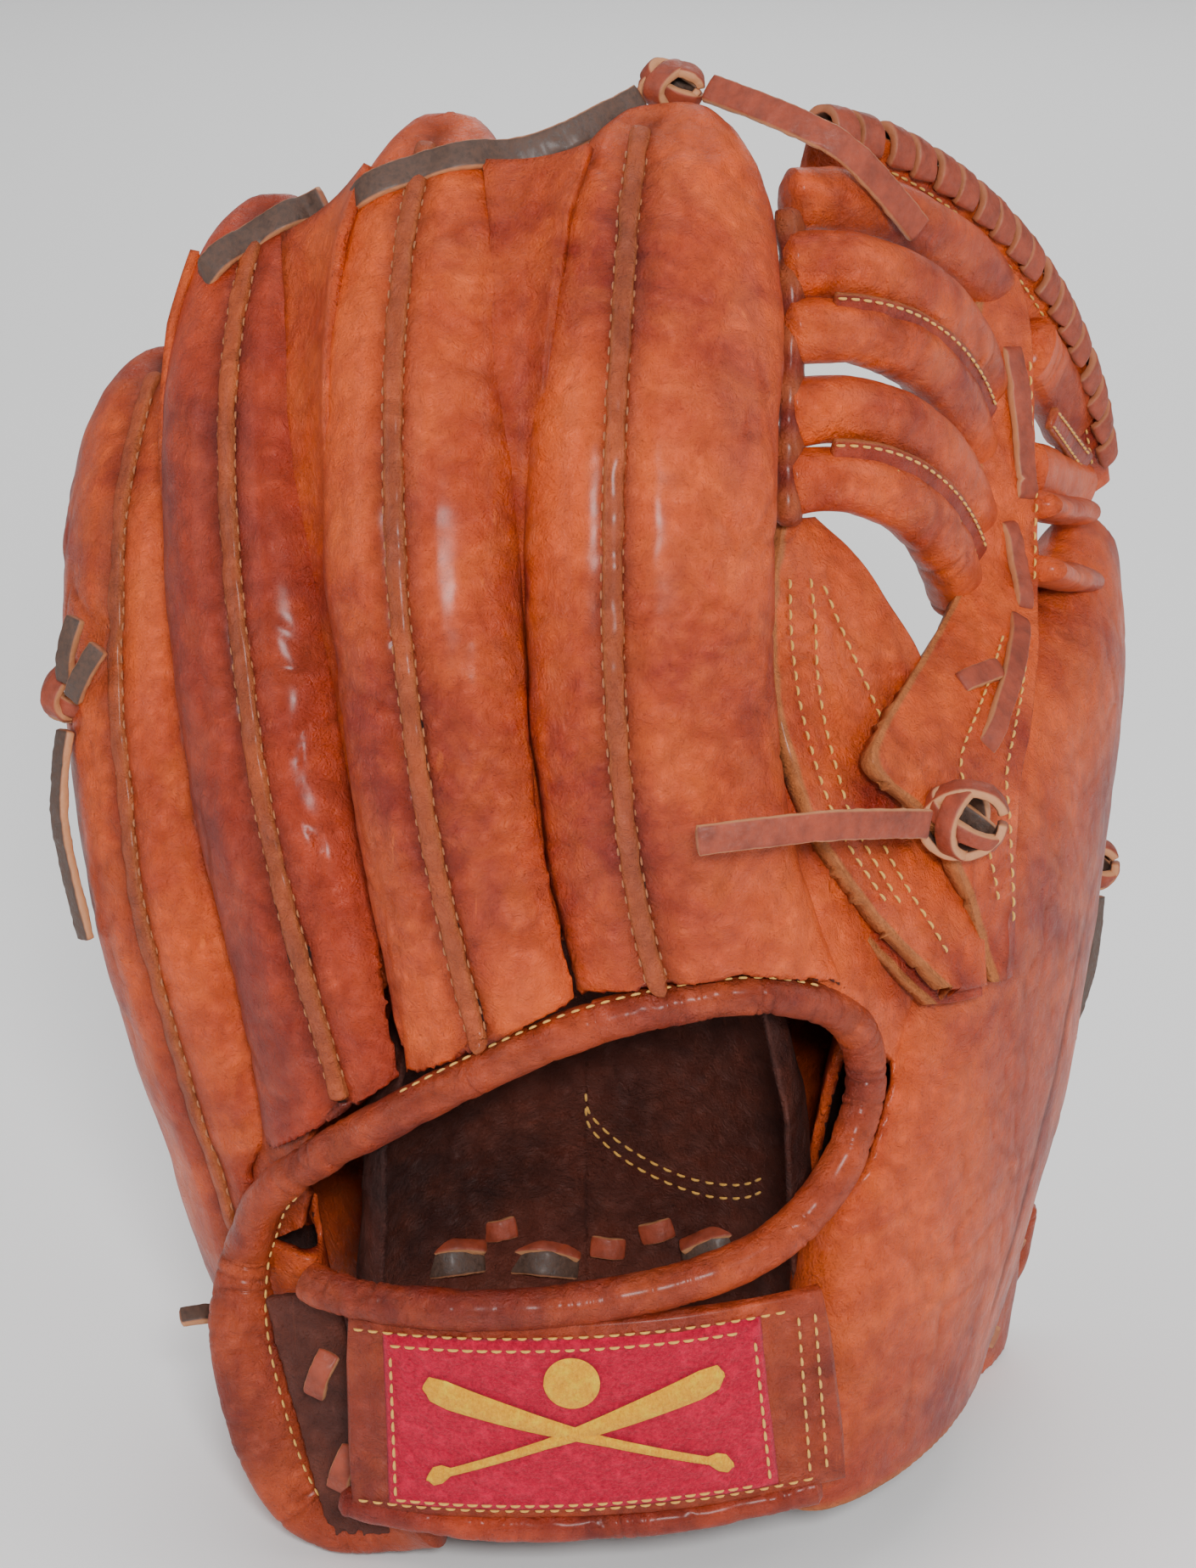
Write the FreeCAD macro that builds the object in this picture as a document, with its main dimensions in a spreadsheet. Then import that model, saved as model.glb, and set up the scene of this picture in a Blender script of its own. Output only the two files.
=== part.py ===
"""A leather fielder's glove for the left hand, standing on its heel with the fingers up.

Frame: millimetres, +Z up along the fingers, the back of the hand faces -Y, the ball pocket opens to +Y,
and the thumb is on the +X side. The origin is under the middle of the glove, on the surface it stands on.

Every stall, pad, strap and bar is a loft of ovals or slabs along a cubic Bezier spine. The spreadsheet
holds each spine's four control points, its width and its thickness, and the sketches are bound to them.
"""
import FreeCAD
import Part

import math
import os

import Sketcher

Vector = FreeCAD.Vector
doc = FreeCAD.newDocument("FieldersGlove")
sheet = doc.addObject("Spreadsheet::Sheet", "Dims")
subparts = []

# ---------------------------------------------------------------- driving dimensions

# Each spine: the four Bezier control points (x, y, z), then width and thickness at full size.
SPINES = {
    "hand_cavity": ((-2, -31, -8), (-2, -31, 40), (-4, -32, 82), (-8, -37, 136), 88, 44),
    "index": ((34, -48, 96), (-4, -50, 165), (14, -36, 238), (13, 16, 280), 46, 31),
    "middle": ((-10, -49, 88), (-30, -49, 155), (-39, -32, 232), (-28, 26, 276), 38, 29),
    "ring": ((-43, -42, 76), (-56, -32, 130), (-76, -6, 215), (-63, 43, 256), 36, 29),
    "pinky": ((-64, -12, 42), (-79, -8, 100), (-94, 10, 185), (-86, 58, 221), 47, 34),
    "thumb": ((54, -22, -3), (60, -8, 60), (79, 8, 112), (105, 94, 171), 106, 35),
    "crotch": ((49, -31, 124), (50, -30, 132), (52, -27, 142), (55, -22, 152), 20, 3),
    "palm": ((-1, 4, 18), (-1, 13, 60), (-1, 10, 110), (-4, -22, 166), 68, 3),
    "pinky_panel": ((-54, 24, 16), (-55, 30, 60), (-56, 26, 110), (-60, 4, 158), 42, 3),
    "thumb_panel": ((51, 28, 14), (53, 33, 60), (58, 38, 105), (76, 58, 148), 44, 3),
    "palm_heel": ((-32, 0, 7.5), (-12, 0, 7.5), (12, 0, 7.5), (32, 0, 7.5), 17, 16),
    "pinky_heel": ((-57, -3, -2), (-61, -3, 20), (-63, -3, 40), (-64, -3, 56), 52, 17),
    "thumb_heel": ((77, 39, -2), (77, 39, 18), (78, 40, 36), (81, 42, 56), 42, 16),
    "pinky_flap": ((-46, -43, 8), (-50, -43, 24), (-54, -42, 42), (-58, -40, 60), 15, 2.4),
    "strap": ((-50, -56, 44), (-22, -65, 44), (12, -66, 46), (42, -58.5, 50), 42, 3.6),
    "web_top_bar": ((41, 14, 264), (55, 22, 262), (70, 40, 250), (78, 60, 236), 12, 10),
    "upper_bar_top": ((41, 3, 254), (56, 8, 253), (70, 26, 240), (76, 48, 219), 12.5, 10),
    "upper_bar_low": ((41, -3, 243), (56, 3, 242), (68, 20, 229), (74, 42, 208), 11.5, 10),
    "lower_bar_top": ((41, -8, 229), (56, -3, 229), (68, 12, 215), (74, 36, 194), 12.5, 10),
    "lower_bar_low": ((40.5, -13, 217), (54, -9, 217), (66, 4, 204), (71, 27, 183), 11.5, 10),
    "thumb_bar_upper": ((89, 68, 220), (92, 76, 214), (96, 86, 206), (100, 94, 198), 13, 9),
    "thumb_bar_lower": ((88, 60, 196), (92, 70, 192), (96, 82, 187), (101, 93, 182), 13, 9),
    "web_post": ((85, 66, 234), (78, 52, 206), (84, 32, 168), (76, -8, 122), 21, 3.4),
    "web_base": ((50, -12, 205), (46, -24, 180), (52, -40, 150), (70, -24, 117), 26, 4),
    "web_rim": ((41, 30, 270), (66, 46, 263), (98, 81, 229), (105, 101, 180), 12, 4),
    "index_edge": ((37.3, 8, 262), (38.3, -3, 245), (36.9, -12, 225), (36.9, -17, 210), 8, 1.4),
    "tip_lace": ((-47, 20, 262), (-32, 12, 277), (-14, 10, 276), (7, 20, 282), 6, 2.2),
    "ring_tip_lace": ((-85, 50, 226), (-80, 42, 242), (-72, 34, 254), (-58, 30, 255), 6, 2.2),
}
# Routes of the rolled bindings and the free lace ends: corner points (x, y, z).
ROUTES = {
    "back_opening": ((-69, -33, 71), (-62, -39, 83), (-50, -45, 94), (-35, -50, 105), (-18, -53.5, 116),
                     (0, -55, 125), (26, -53, 130), (41, -48, 126), (50, -41, 117), (51.5, -40, 104),
                     (47, -46, 90), (37, -54, 80), (22, -60, 74), (0, -63, 70), (-20, -63, 68),
                     (-41, -60, 68), (-56, -54, 69)),
    "strap_lower_edge": ((-49, -56, 23), (-24, -62, 20.5), (14, -63, 22.5), (42, -58, 27)),
    "pinky_heel_edge": ((-69, -30, 66), (-70.5, -33, 52), (-67, -35, 34), (-62, -36, 16), (-54, -37, 6),
                        (-42, -40, 9)),
    "thumb_heel_edge": ((60, 29, 4), (71, 42, 4.5), (82, 54, 5), (91, 58, 14), (93, 57, 30)),
    "web_tail": ((61, -42, 159), (48, -57, 165), (34, -65, 167), (18, -68, 166)),
    "tip_tail": ((21, 20, 284), (37, 11, 280), (50, 9, 273), (61, 19, 257)),
    "pinky_tail": ((-105.2, 10, 158), (-107.2, 6, 147), (-105.2, 3, 132), (-101.7, 0, 118)),
    "thumb_tail": ((108, 74, 96), (107.5, 71, 84), (103, 67, 70), (97.5, 64, 58)),
}
# Route points taken by each body's share of the binding round the back opening: first and last.
BINDING_SHARES = {"pinky_binding": (0, 3), "opening_binding": (3, 8), "thumb_binding": (8, 11),
                  "strap_binding": (11, 16)}
SCALARS = {
    "floor_height": 0,
    "thumb_hem_height": 17,
    "leather": 2.6,
    "binding_radius": 4.0,
    "small_binding_radius": 3.0,
    "lace_width": 5.6,
    "lace_thickness": 2.2,
    "felt_thickness": 6.5,
    "lining_thickness": 1.8,
    "patch_height": 37,
    "patch_thickness": 1.4,
    "welt_width": 4.2,
    "welt_height": 2.2,
    "fit_gap": 0.5,
    "binding_end_gap": 2.2,
}
SIDES = ("x", "y", "z")
# Where one threaded lace shows: (x, y, z, yaw, pitch, roll) of each short flat piece, in degrees.
HEEL_LACE_PLACES = ((-30, -1, 43, 0, 90, 0), (-12, -1, 43, 0, 90, 0), (20, -1, 47, 0, 90, 0))
POST_LACE_PLACES = ((87, 56, 217, 30, 0, -24), (88, 42, 190, 30, 0, -30), (86, 12, 158, 22, 0, -36))
# How far each finger's welt leans off the middle of its back, in radians.
WELT_LEAN = {"index": -0.36, "middle": -0.12, "ring": 0.2, "pinky": 0.3}
# The stalls that each finger's stall is cut back from, where two press together.
STALL_NEIGHBOURS = {"index": (), "middle": ("index",), "ring": ("middle",), "pinky": ("ring",)}


def column_letters(index):
    """Spreadsheet column name for a count from 0."""
    name = ""
    index += 1
    while index:
        index, rest = divmod(index - 1, 26)
        name = chr(65 + rest) + name
    return name


def fill_sheet():
    """One row for each spine and scalar, with an alias on every number."""
    row = 1
    for name, (*points, width, thick) in SPINES.items():
        sheet.set(f"A{row}", name)
        cells = [(f"{name}_point{i}_{s}", p[k]) for i, p in enumerate(points) for k, s in enumerate(SIDES)]
        cells += [(f"{name}_width", width), (f"{name}_thick", thick)]
        for column, (alias, value) in enumerate(cells):
            address = f"{column_letters(column + 1)}{row}"
            sheet.set(address, str(value))
            sheet.setAlias(address, alias)
        row += 1
    for alias, value in SCALARS.items():
        sheet.set(f"A{row}", alias)
        sheet.set(f"B{row}", str(value))
        sheet.setAlias(f"B{row}", alias)
        row += 1
    doc.recompute()


def dim(alias):
    return float(sheet.get(alias))


# ---------------------------------------------------------------- Bezier spines


def weights(t):
    """Bernstein weights of a cubic Bezier; t may run a little past 0 or 1."""
    u = 1 - t
    return u**3, 3 * u * u * t, 3 * u * t * t, t**3


def control(name, i):
    return Vector(*(dim(f"{name}_point{i}_{s}") for s in SIDES))


def point_on(name, t):
    total = Vector(0, 0, 0)
    for i, w in enumerate(weights(t)):
        total += control(name, i) * w
    return total


def tangent_on(name, t, step=0.01):
    return (point_on(name, t + step) - point_on(name, t - step)).normalize()


def across_on(name, t, across):
    """The width direction: across is given at both ends, blended, and squared to the spine."""
    start, end = across
    direction = start * (1 - t) + end * t
    along = tangent_on(name, t)
    return (direction - along * direction.dot(along)).normalize()


def facing_on(name, t, across):
    """The thickness direction, square to the spine and to the width."""
    return tangent_on(name, t).cross(across_on(name, t, across)).normalize()


def yaw(degrees):
    return Vector(math.cos(math.radians(degrees)), math.sin(math.radians(degrees)), 0)


UP = Vector(0, 0, 1)
BAR_ACROSS = (Vector(0.15, 0, 1), Vector(0.5, 0.2, 0.85))
ACROSS = {
    "hand_cavity": (yaw(0), yaw(0)),
    "index": (yaw(6), yaw(4)),
    "middle": (yaw(-10), yaw(-16)),
    "ring": (yaw(-26), yaw(-38)),
    "pinky": (yaw(-56), yaw(-52)),
    "thumb": (yaw(62), yaw(66)),
    "crotch": (yaw(52), yaw(52)),
    "palm": (yaw(0), yaw(0)),
    "pinky_panel": (yaw(-50), yaw(-46)),
    "thumb_panel": (yaw(56), yaw(60)),
    "palm_heel": (UP, UP),
    "pinky_heel": (yaw(-88), yaw(-84)),
    "thumb_heel": (yaw(50), yaw(56)),
    "pinky_flap": (yaw(-16), yaw(-16)),
    "strap": (UP, UP),
    "web_post": (yaw(36), yaw(14)),
    "web_base": (yaw(44), yaw(40)),
    "index_edge": (yaw(80), yaw(80)),
    "tip_lace": (Vector(0, -0.6, 0.8), Vector(0, -0.6, 0.8)),
    "ring_tip_lace": (Vector(-0.5, -0.5, 0.7), Vector(-0.5, -0.5, 0.7)),
}


# ---------------------------------------------------------------- sections and lofts

# Shares of full width and thickness along the spine: (t, width share, thickness share).
STALL_PROFILE = ((0, 1.04, 0.46), (0.18, 1.04, 0.66), (0.36, 1, 0.92), (0.52, 1, 1), (0.7, 1, 0.98),
                 (0.86, 0.92, 0.84), (0.95, 0.7, 0.6), (1, 0.36, 0.3))
VOID_PROFILE = ((-0.03, 1.04, 0.44), (0.18, 1.04, 0.66), (0.36, 1, 0.92), (0.52, 1, 1), (0.7, 0.98, 0.96),
                (0.87, 0.84, 0.72))
FELT_PROFILE = ((0.58, 0.92, 0.9), (0.7, 0.92, 0.9), (0.85, 0.8, 0.68))
CAVITY_PROFILE = ((0, 1.04, 1.04), (0.3, 1, 1), (0.6, 0.97, 0.94), (0.85, 0.9, 0.78), (1, 0.76, 0.56))
THUMB_PROFILE = ((0, 0.56, 0.62), (0.14, 0.76, 0.84), (0.3, 0.9, 1), (0.5, 1, 1.05), (0.65, 0.87, 0.98),
                 (0.8, 0.62, 0.88), (0.92, 0.4, 0.7), (1, 0.18, 0.36))
THUMB_VOID_PROFILE = ((-0.05, 0.52, 0.56), (0.14, 0.74, 0.82), (0.3, 0.88, 0.98), (0.5, 0.98, 1.03),
                      (0.65, 0.84, 0.96), (0.86, 0.48, 0.72))
THUMB_FELT_PROFILE = ((0.62, 0.7, 0.86), (0.74, 0.56, 0.8), (0.85, 0.42, 0.62))
EVEN_PROFILE = ((0, 1, 1), (0.33, 1, 1), (0.67, 1, 1), (1, 1, 1))
HEEL_PROFILE = ((0, 0.86, 0.86), (0.3, 1, 1), (0.7, 0.98, 1), (1, 0.8, 0.6))
PALM_HEEL_PROFILE = ((0, 0.94, 0.8), (0.3, 1, 1), (0.7, 1, 1), (1, 0.94, 0.8))
POST_PROFILE = ((0, 0.9, 1), (0.35, 0.8, 1), (0.7, 1.2, 1), (1, 0.62, 1))
BASE_PROFILE = ((0, 1.3, 1), (0.33, 1.3, 1), (0.67, 1.16, 1), (1, 0.5, 1))


def spine_expression(name, t, side):
    """Cell expression for one coordinate of a spine point."""
    terms = [f"Dims.{name}_point{i}_{side} * {w:.9f}" for i, w in enumerate(weights(t))]
    return " + ".join(terms)


def oval_geometry(sketch, width, thick):
    """An ellipse centred on the sketch's origin; returns the indexes of its two size constraints."""
    sketch.addGeometry(Part.Ellipse(Vector(0, 0, 0), width / 2, thick / 2), False)
    sketch.exposeInternalGeometry(0)
    sketch.addConstraint(Sketcher.Constraint("Coincident", 0, 3, -1, 1))
    if width >= thick:
        sketch.addConstraint(Sketcher.Constraint("Horizontal", 1))
    return (sketch.addConstraint(Sketcher.Constraint("Distance", 1, width)),
            sketch.addConstraint(Sketcher.Constraint("Distance", 2, thick)))


def slab_geometry(sketch, width, thick):
    """A rectangle centred on the sketch's origin; returns the indexes of its two size constraints."""
    corners = [Vector(sx * width / 2, sy * thick / 2, 0) for sx, sy in ((-1, -1), (1, -1), (1, 1), (-1, 1))]
    for i in range(4):
        sketch.addGeometry(Part.LineSegment(corners[i], corners[(i + 1) % 4]), False)
    for i in range(4):
        sketch.addConstraint(Sketcher.Constraint("Coincident", i, 2, (i + 1) % 4, 1))
    for i, rule in enumerate(("Horizontal", "Vertical", "Horizontal", "Vertical")):
        sketch.addConstraint(Sketcher.Constraint(rule, i))
    sketch.addConstraint(Sketcher.Constraint("Symmetric", 0, 1, 1, 2, -1, 1))
    return (sketch.addConstraint(Sketcher.Constraint("DistanceX", 0, 1, 0, 2, width)),
            sketch.addConstraint(Sketcher.Constraint("DistanceY", 1, 1, 1, 2, thick)))


def section(body, name, key, t, across, size, geometry, shrink=0.0, offset=None):
    """One sketch square to the spine at t, its centre and sizes bound to the sheet's cells.

    size is (width cell or number, width share, thickness cell or number, thickness share).
    shrink takes a wall off each side, in cells of leather. offset is (cell expression, value) along the facing.
    """
    width_cell, width_share, thick_cell, thick_share = size
    sketch = body.newObject("Sketcher::SketchObject", name)
    plane = next(o for o in body.Origin.OriginFeatures if o.Role == "XY_Plane")
    sketch.AttachmentSupport = [(plane, "")]
    sketch.MapMode = "FlatFace"
    wide = across_on(key, t, across)
    along = tangent_on(key, t)
    facing = facing_on(key, t, across)
    centre = point_on(key, t) + (facing * offset[1] if offset else Vector(0, 0, 0))
    sketch.AttachmentOffset = FreeCAD.Placement(centre, FreeCAD.Rotation(wide, facing, along, "ZXY"))
    wall = 2 * shrink * dim("leather")
    width = dim(width_cell) * width_share - wall
    thick = dim(thick_cell) * thick_share - wall
    indexes = geometry(sketch, width, thick)
    for index, label, cell, share in zip(indexes, ("Wide", "Thick"), (width_cell, thick_cell),
                                         (width_share, thick_share)):
        sketch.renameConstraint(index, label)
        sketch.setExpression(f"Constraints.{label}", f"Dims.{cell} * {share} - Dims.leather * {2 * shrink}")
    for side, lean in zip(SIDES, facing):
        expression = spine_expression(key, t, side)
        if offset:
            expression += f" + ({offset[0]}) * {lean:.9f}"
        sketch.setExpression(f"AttachmentOffset.Base.{side}", expression)
    return sketch


def loft(body, kind, key, across, profile, geometry, shrink=0.0, offset=None, sizes=None, ruled=False):
    """An additive or subtractive loft through the profile's sections."""
    width_cell, thick_cell = sizes or (f"{key}_width", f"{key}_thick")
    sketches = [section(body, f"{body.Name}_{kind}_{i}", key, t, across, (width_cell, w, thick_cell, h),
                        geometry, shrink, offset)
                for i, (t, w, h) in enumerate(profile)]
    doc.recompute()
    feature = body.newObject(f"PartDesign::{kind}Loft", f"{body.Name}_{kind}")
    feature.Profile = sketches[0]
    feature.Sections = sketches[1:]
    feature.Ruled = ruled
    doc.recompute()
    return feature


def new_body(label):
    body = doc.addObject("PartDesign::Body", label)
    body.Label = label
    return body


def keep(label, item):
    """Lists an object as a sub-part under its label."""
    item.Label = label
    subparts.append(item)
    return item


def solid_loft(label, key, profile=EVEN_PROFILE, geometry=oval_geometry, across=None, offset=None, sizes=None,
               tools=()):
    """A sub-part that is one solid loft, less its tools."""
    body = new_body(f"{label}_blank")
    loft(body, "Additive", key, across or ACROSS[key], profile, geometry, offset=offset, sizes=sizes)
    return keep(label, cut(label, body, *tools))


def cut(label, base, *tools):
    """Part::Cut of base by each tool in turn."""
    for i, tool in enumerate(tools):
        result = doc.addObject("Part::Cut", f"{label}_cut{i}")
        result.Base = base
        result.Tool = tool
        doc.recompute()
        base = result
    return base


# ---------------------------------------------------------------- stalls, their felt and their welts


def hand_cavity_tool():
    """The space for the hand; it is only a cutting tool."""
    body = new_body("hand_cavity_tool")
    loft(body, "Additive", "hand_cavity", ACROSS["hand_cavity"], CAVITY_PROFILE, oval_geometry)
    return body


def opening_tool():
    """The space of the back opening, as far out as the outer side of its binding; only a cutting tool."""
    flat = [Vector(x, 0, z) for x, _, z in ROUTES["back_opening"]]
    outline = Part.makePolygon(flat + flat[:1]).makeOffset2D(dim("binding_radius") + dim("fit_gap"), join=2)
    face = Part.Face(outline)
    face.translate(Vector(0, -110, 0))
    return plain("opening_tool", face.extrude(Vector(0, 84, 0)))


def trimming_tool(name, alias):
    """Everything under a height from the sheet; it trims a heel or a hem flat."""
    tool = doc.addObject("Part::Box", name)
    tool.Length, tool.Width, tool.Height = 300, 300, 60
    tool.Placement.Base = Vector(-150, -150, dim(alias) - 60)
    tool.setExpression("Placement.Base.z", f"Dims.{alias} - 60")
    return tool


def room_for(key, profile, geometry=oval_geometry, across=None):
    """The outer shape of a piece, a little grown; neighbours are cut back from it."""
    body = new_body(f"{key}_room")
    loft(body, "Additive", key, across or ACROSS[key], profile, geometry, shrink=-0.2)
    return body


def stall(label, key, tools, outer=STALL_PROFILE, inner=VOID_PROFILE):
    """A hollow finger or thumb stall, open into the hand cavity."""
    body = new_body(f"{label}_tube")
    loft(body, "Additive", key, ACROSS[key], outer, oval_geometry)
    loft(body, "Subtractive", key, ACROSS[key], inner, oval_geometry, shrink=1)
    return keep(label, cut(label, body, *tools))


def felt(label, key, profile=FELT_PROFILE):
    """The stiffener inside the upper part of a stall."""
    body = new_body(label)
    loft(body, "Additive", key, ACROSS[key], profile, oval_geometry, shrink=1.2)
    return keep(label, body)


def profile_share(profile, t, column):
    """A profile's share at t, straight between its stations."""
    for low, high in zip(profile, profile[1:]):
        if low[0] <= t <= high[0]:
            mix = (t - low[0]) / (high[0] - low[0])
            return low[column] + (high[column] - low[column]) * mix
    return profile[-1][column]


def welt(label, key, profile, first, last, lean, room, count=7):
    """The raised strip over the seam down the middle of a stall's back."""
    half_height = dim("welt_height") / 2
    sections = []
    for i in range(count):
        t = first + (last - first) * i / (count - 1)
        across = across_on(key, t, ACROSS[key])
        facing = facing_on(key, t, ACROSS[key])
        half_wide = dim(f"{key}_width") * profile_share(profile, t, 1) / 2
        half_thick = dim(f"{key}_thick") * profile_share(profile, t, 2) / 2
        centre = (point_on(key, t) + across * (half_wide * math.sin(lean))
                  - facing * (half_thick * math.cos(lean) + half_height + dim("fit_gap")))
        corners = [centre + across * (sx * dim("welt_width") / 2) + facing * (sy * half_height)
                   for sx, sy in ((-1, -1), (1, -1), (1, 1), (-1, 1))]
        sections.append(Part.makePolygon(corners + corners[:1]))
    return shape_part(label, Part.makeLoft(sections, True, False), room)


def plain(name, shape):
    item = doc.addObject("Part::Feature", name)
    item.Shape = shape
    return item


def shape_part(label, shape, *tools):
    """A sub-part from a shape, less its tools."""
    return keep(label, cut(label, plain(f"{label}_blank", shape), *tools))


# ---------------------------------------------------------------- tubes, laces and knots


def rounded_path(points):
    """Straight runs joined by tangent arcs, each as large as its two runs allow."""
    points = [Vector(*p) for p in points]
    edges = []
    start = points[0]
    for before, corner, after in zip(points, points[1:], points[2:]):
        into = (corner - before).normalize()
        out = (after - corner).normalize()
        turn = into.getAngle(out)
        reach = 0.45 * min((corner - before).Length, (after - corner).Length)
        radius = reach / math.tan(turn / 2)
        first = corner - into * reach
        last = corner + out * reach
        inward = (out - into).normalize()
        middle = corner + inward * (radius / math.cos(turn / 2) - radius)
        edges.append(Part.LineSegment(start, first).toShape())
        edges.append(Part.Arc(first, middle, last).toShape())
        start = last
    edges.append(Part.LineSegment(start, points[-1]).toShape())
    return Part.Wire(edges)


def swept(path, profile):
    shell = Part.BRepOffsetAPI.MakePipeShell(path)
    shell.add(profile)
    shell.setTransitionMode(1)
    shell.build()
    shell.makeSolid()
    return shell.shape()


def round_tube(points, radius):
    path = rounded_path(points)
    along = path.Edges[0].tangentAt(path.Edges[0].FirstParameter)
    profile = Part.Wire(Part.Circle(path.Edges[0].valueAt(path.Edges[0].FirstParameter), along, radius).toShape())
    return swept(path, profile)


def flat_lace(points, facing):
    """A lace with a rectangular section; facing is the direction of its thin side at its start."""
    path = rounded_path(points)
    first = path.Edges[0]
    along = first.tangentAt(first.FirstParameter)
    thin = (Vector(*facing) - along * Vector(*facing).dot(along)).normalize()
    wide = along.cross(thin)
    start = first.valueAt(first.FirstParameter)
    half_wide, half_thin = dim("lace_width") / 2, dim("lace_thickness") / 2
    corners = [start + wide * (sx * half_wide) + thin * (sy * half_thin)
               for sx, sy in ((-1, -1), (1, -1), (1, 1), (-1, 1))]
    return swept(path, Part.makePolygon(corners + corners[:1]))


def ellipsoid(name, centre, size):
    item = doc.addObject("Part::Ellipsoid", name)
    item.Radius1, item.Radius2, item.Radius3 = size[2] / 2, size[0] / 2, size[1] / 2
    item.Angle1, item.Angle2, item.Angle3 = -90, 90, 360
    item.Placement.Base = Vector(*centre)
    return item


def knot(label, centre, size, *tools):
    """A tied lace knot as an ellipsoid of its outer size."""
    return keep(label, cut(label, ellipsoid(f"{label}_blank", centre, size), *tools))


def with_gaps(points):
    """The route with each end drawn back, so that neighbours don't touch where the route turns."""
    points = [Vector(*p) for p in points]
    for end, beside in ((0, 1), (-1, -2)):
        points[end] = points[end] + (points[beside] - points[end]).normalize() * dim("binding_end_gap")
    return points


def binding(label, points, radius):
    """A rolled leather edge binding; its volume has to be its section times its length."""
    shape = round_tube(points, radius)
    volume = math.pi * radius**2 * rounded_path(points).Length
    if abs(shape.Volume / volume - 1) > 0.02:
        raise SystemExit(f"{label} is not the volume of its route")
    return shape_part(label, shape)


def binding_room(name, points, radius):
    """The room that a binding takes; what it wraps is cut back from it."""
    return plain(name, round_tube(points, radius + dim("fit_gap")))


def lace(label, facing):
    """A free lace end along its route."""
    shape = flat_lace(ROUTES[label], facing)
    path = rounded_path(ROUTES[label])
    radii = [round(edge.Curve.Radius, 1) for edge in path.Edges if hasattr(edge.Curve, "Radius")]
    print(f"{label} is {path.Length:.1f} mm long, with arcs of radius {radii} mm;",
          f"its volume is {shape.Volume / path.Length:.2f} mm2 of section")
    return shape_part(label, shape)


def flat_pieces(places, grown=0.0):
    """A short flat piece of lace at each place, or the slot for it if grown."""
    pieces = []
    for x, y, z, *angles in places:
        wide, thick = dim("lace_width") + 2 * grown, dim("lace_thickness") + 2 * grown
        long = 2 * dim("lace_width") + 2 * grown
        piece = Part.makeBox(wide, thick, long, Vector(-wide / 2, -thick / 2, -long / 2))
        piece.Placement = FreeCAD.Placement(Vector(x, y, z), FreeCAD.Rotation(*angles))
        pieces.append(piece)
    return Part.makeCompound(pieces)


# ---------------------------------------------------------------- the glove

fill_sheet()
cavity = hand_cavity_tool()
opening = opening_tool()
floor = trimming_tool("floor_tool", "floor_height")
hem = trimming_tool("hem_tool", "thumb_hem_height")

room = {finger: room_for(finger, STALL_PROFILE) for finger in ("index", "middle", "ring", "pinky")}
room["thumb"] = room_for("thumb", THUMB_PROFILE)
strap_points = ROUTES["back_opening"][BINDING_SHARES["strap_binding"][0]:]
strap_room = binding_room("strap_binding_room", strap_points, dim("binding_radius"))
strap_lower_room = binding_room("strap_lower_room", ROUTES["strap_lower_edge"], dim("small_binding_radius"))
heel_edge_room = binding_room("pinky_heel_edge_room", ROUTES["pinky_heel_edge"], dim("binding_radius"))
thumb_edge_room = binding_room("thumb_heel_edge_room", ROUTES["thumb_heel_edge"], dim("small_binding_radius"))
lace_slots = plain("heel_lace_slots", flat_pieces(HEEL_LACE_PLACES, dim("fit_gap")))

own_tools = {"pinky": [heel_edge_room, ellipsoid("pinky_mouth", (-60, -14, 84), (28, 24, 44))]}
for finger, beside in STALL_NEIGHBOURS.items():
    tools = [cavity, opening] + [room[name] for name in beside] + own_tools.get(finger, [])
    stall(f"{finger}_stall", finger, tools)
    felt(f"{finger}_stiffener", finger)
    welt(f"{finger}_welt", finger, STALL_PROFILE, 0.26, 0.93, WELT_LEAN[finger], room[finger])
stall("thumb_stall", "thumb", [hem, cavity, opening], THUMB_PROFILE, THUMB_VOID_PROFILE)
felt("thumb_stiffener", "thumb", THUMB_FELT_PROFILE)
solid_loft("thumb_crotch_panel", "crotch", geometry=slab_geometry, tools=[room["index"], room["thumb"]])

palm_step = (dim("palm_thick") + dim("felt_thickness")) / 2 + dim("fit_gap")
lining_step = palm_step + (dim("felt_thickness") + dim("lining_thickness")) / 2 + dim("fit_gap")
solid_loft("palm_shell", "palm", geometry=slab_geometry)
solid_loft("palm_felt", "palm", geometry=slab_geometry, sizes=("palm_width", "felt_thickness"),
           offset=("-(Dims.palm_thick + Dims.felt_thickness) / 2 - Dims.fit_gap", -palm_step),
           profile=((0.02, 0.94, 1), (0.3, 0.94, 1), (0.55, 0.94, 1), (0.8, 0.9, 1)), tools=[lace_slots])
solid_loft("palm_lining", "palm", geometry=slab_geometry, sizes=("palm_width", "lining_thickness"),
           offset=("-(Dims.palm_thick + Dims.lining_thickness) / 2 - Dims.felt_thickness - 2 * Dims.fit_gap",
                   -lining_step),
           profile=((0.0, 0.98, 1), (0.3, 0.98, 1), (0.55, 0.98, 1), (0.8, 0.92, 1)), tools=[lace_slots])
solid_loft("pinky_palm_panel", "pinky_panel", geometry=slab_geometry, tools=[room["pinky"]])
solid_loft("thumb_palm_panel", "thumb_panel", geometry=slab_geometry, tools=[room["thumb"]])
solid_loft("palm_heel_pad", "palm_heel", PALM_HEEL_PROFILE, tools=[floor])
solid_loft("pinky_heel_pad", "pinky_heel", HEEL_PROFILE, tools=[floor, room["pinky"]])
solid_loft("thumb_heel_pad", "thumb_heel", HEEL_PROFILE, tools=[floor, room["thumb"], thumb_edge_room])
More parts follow.
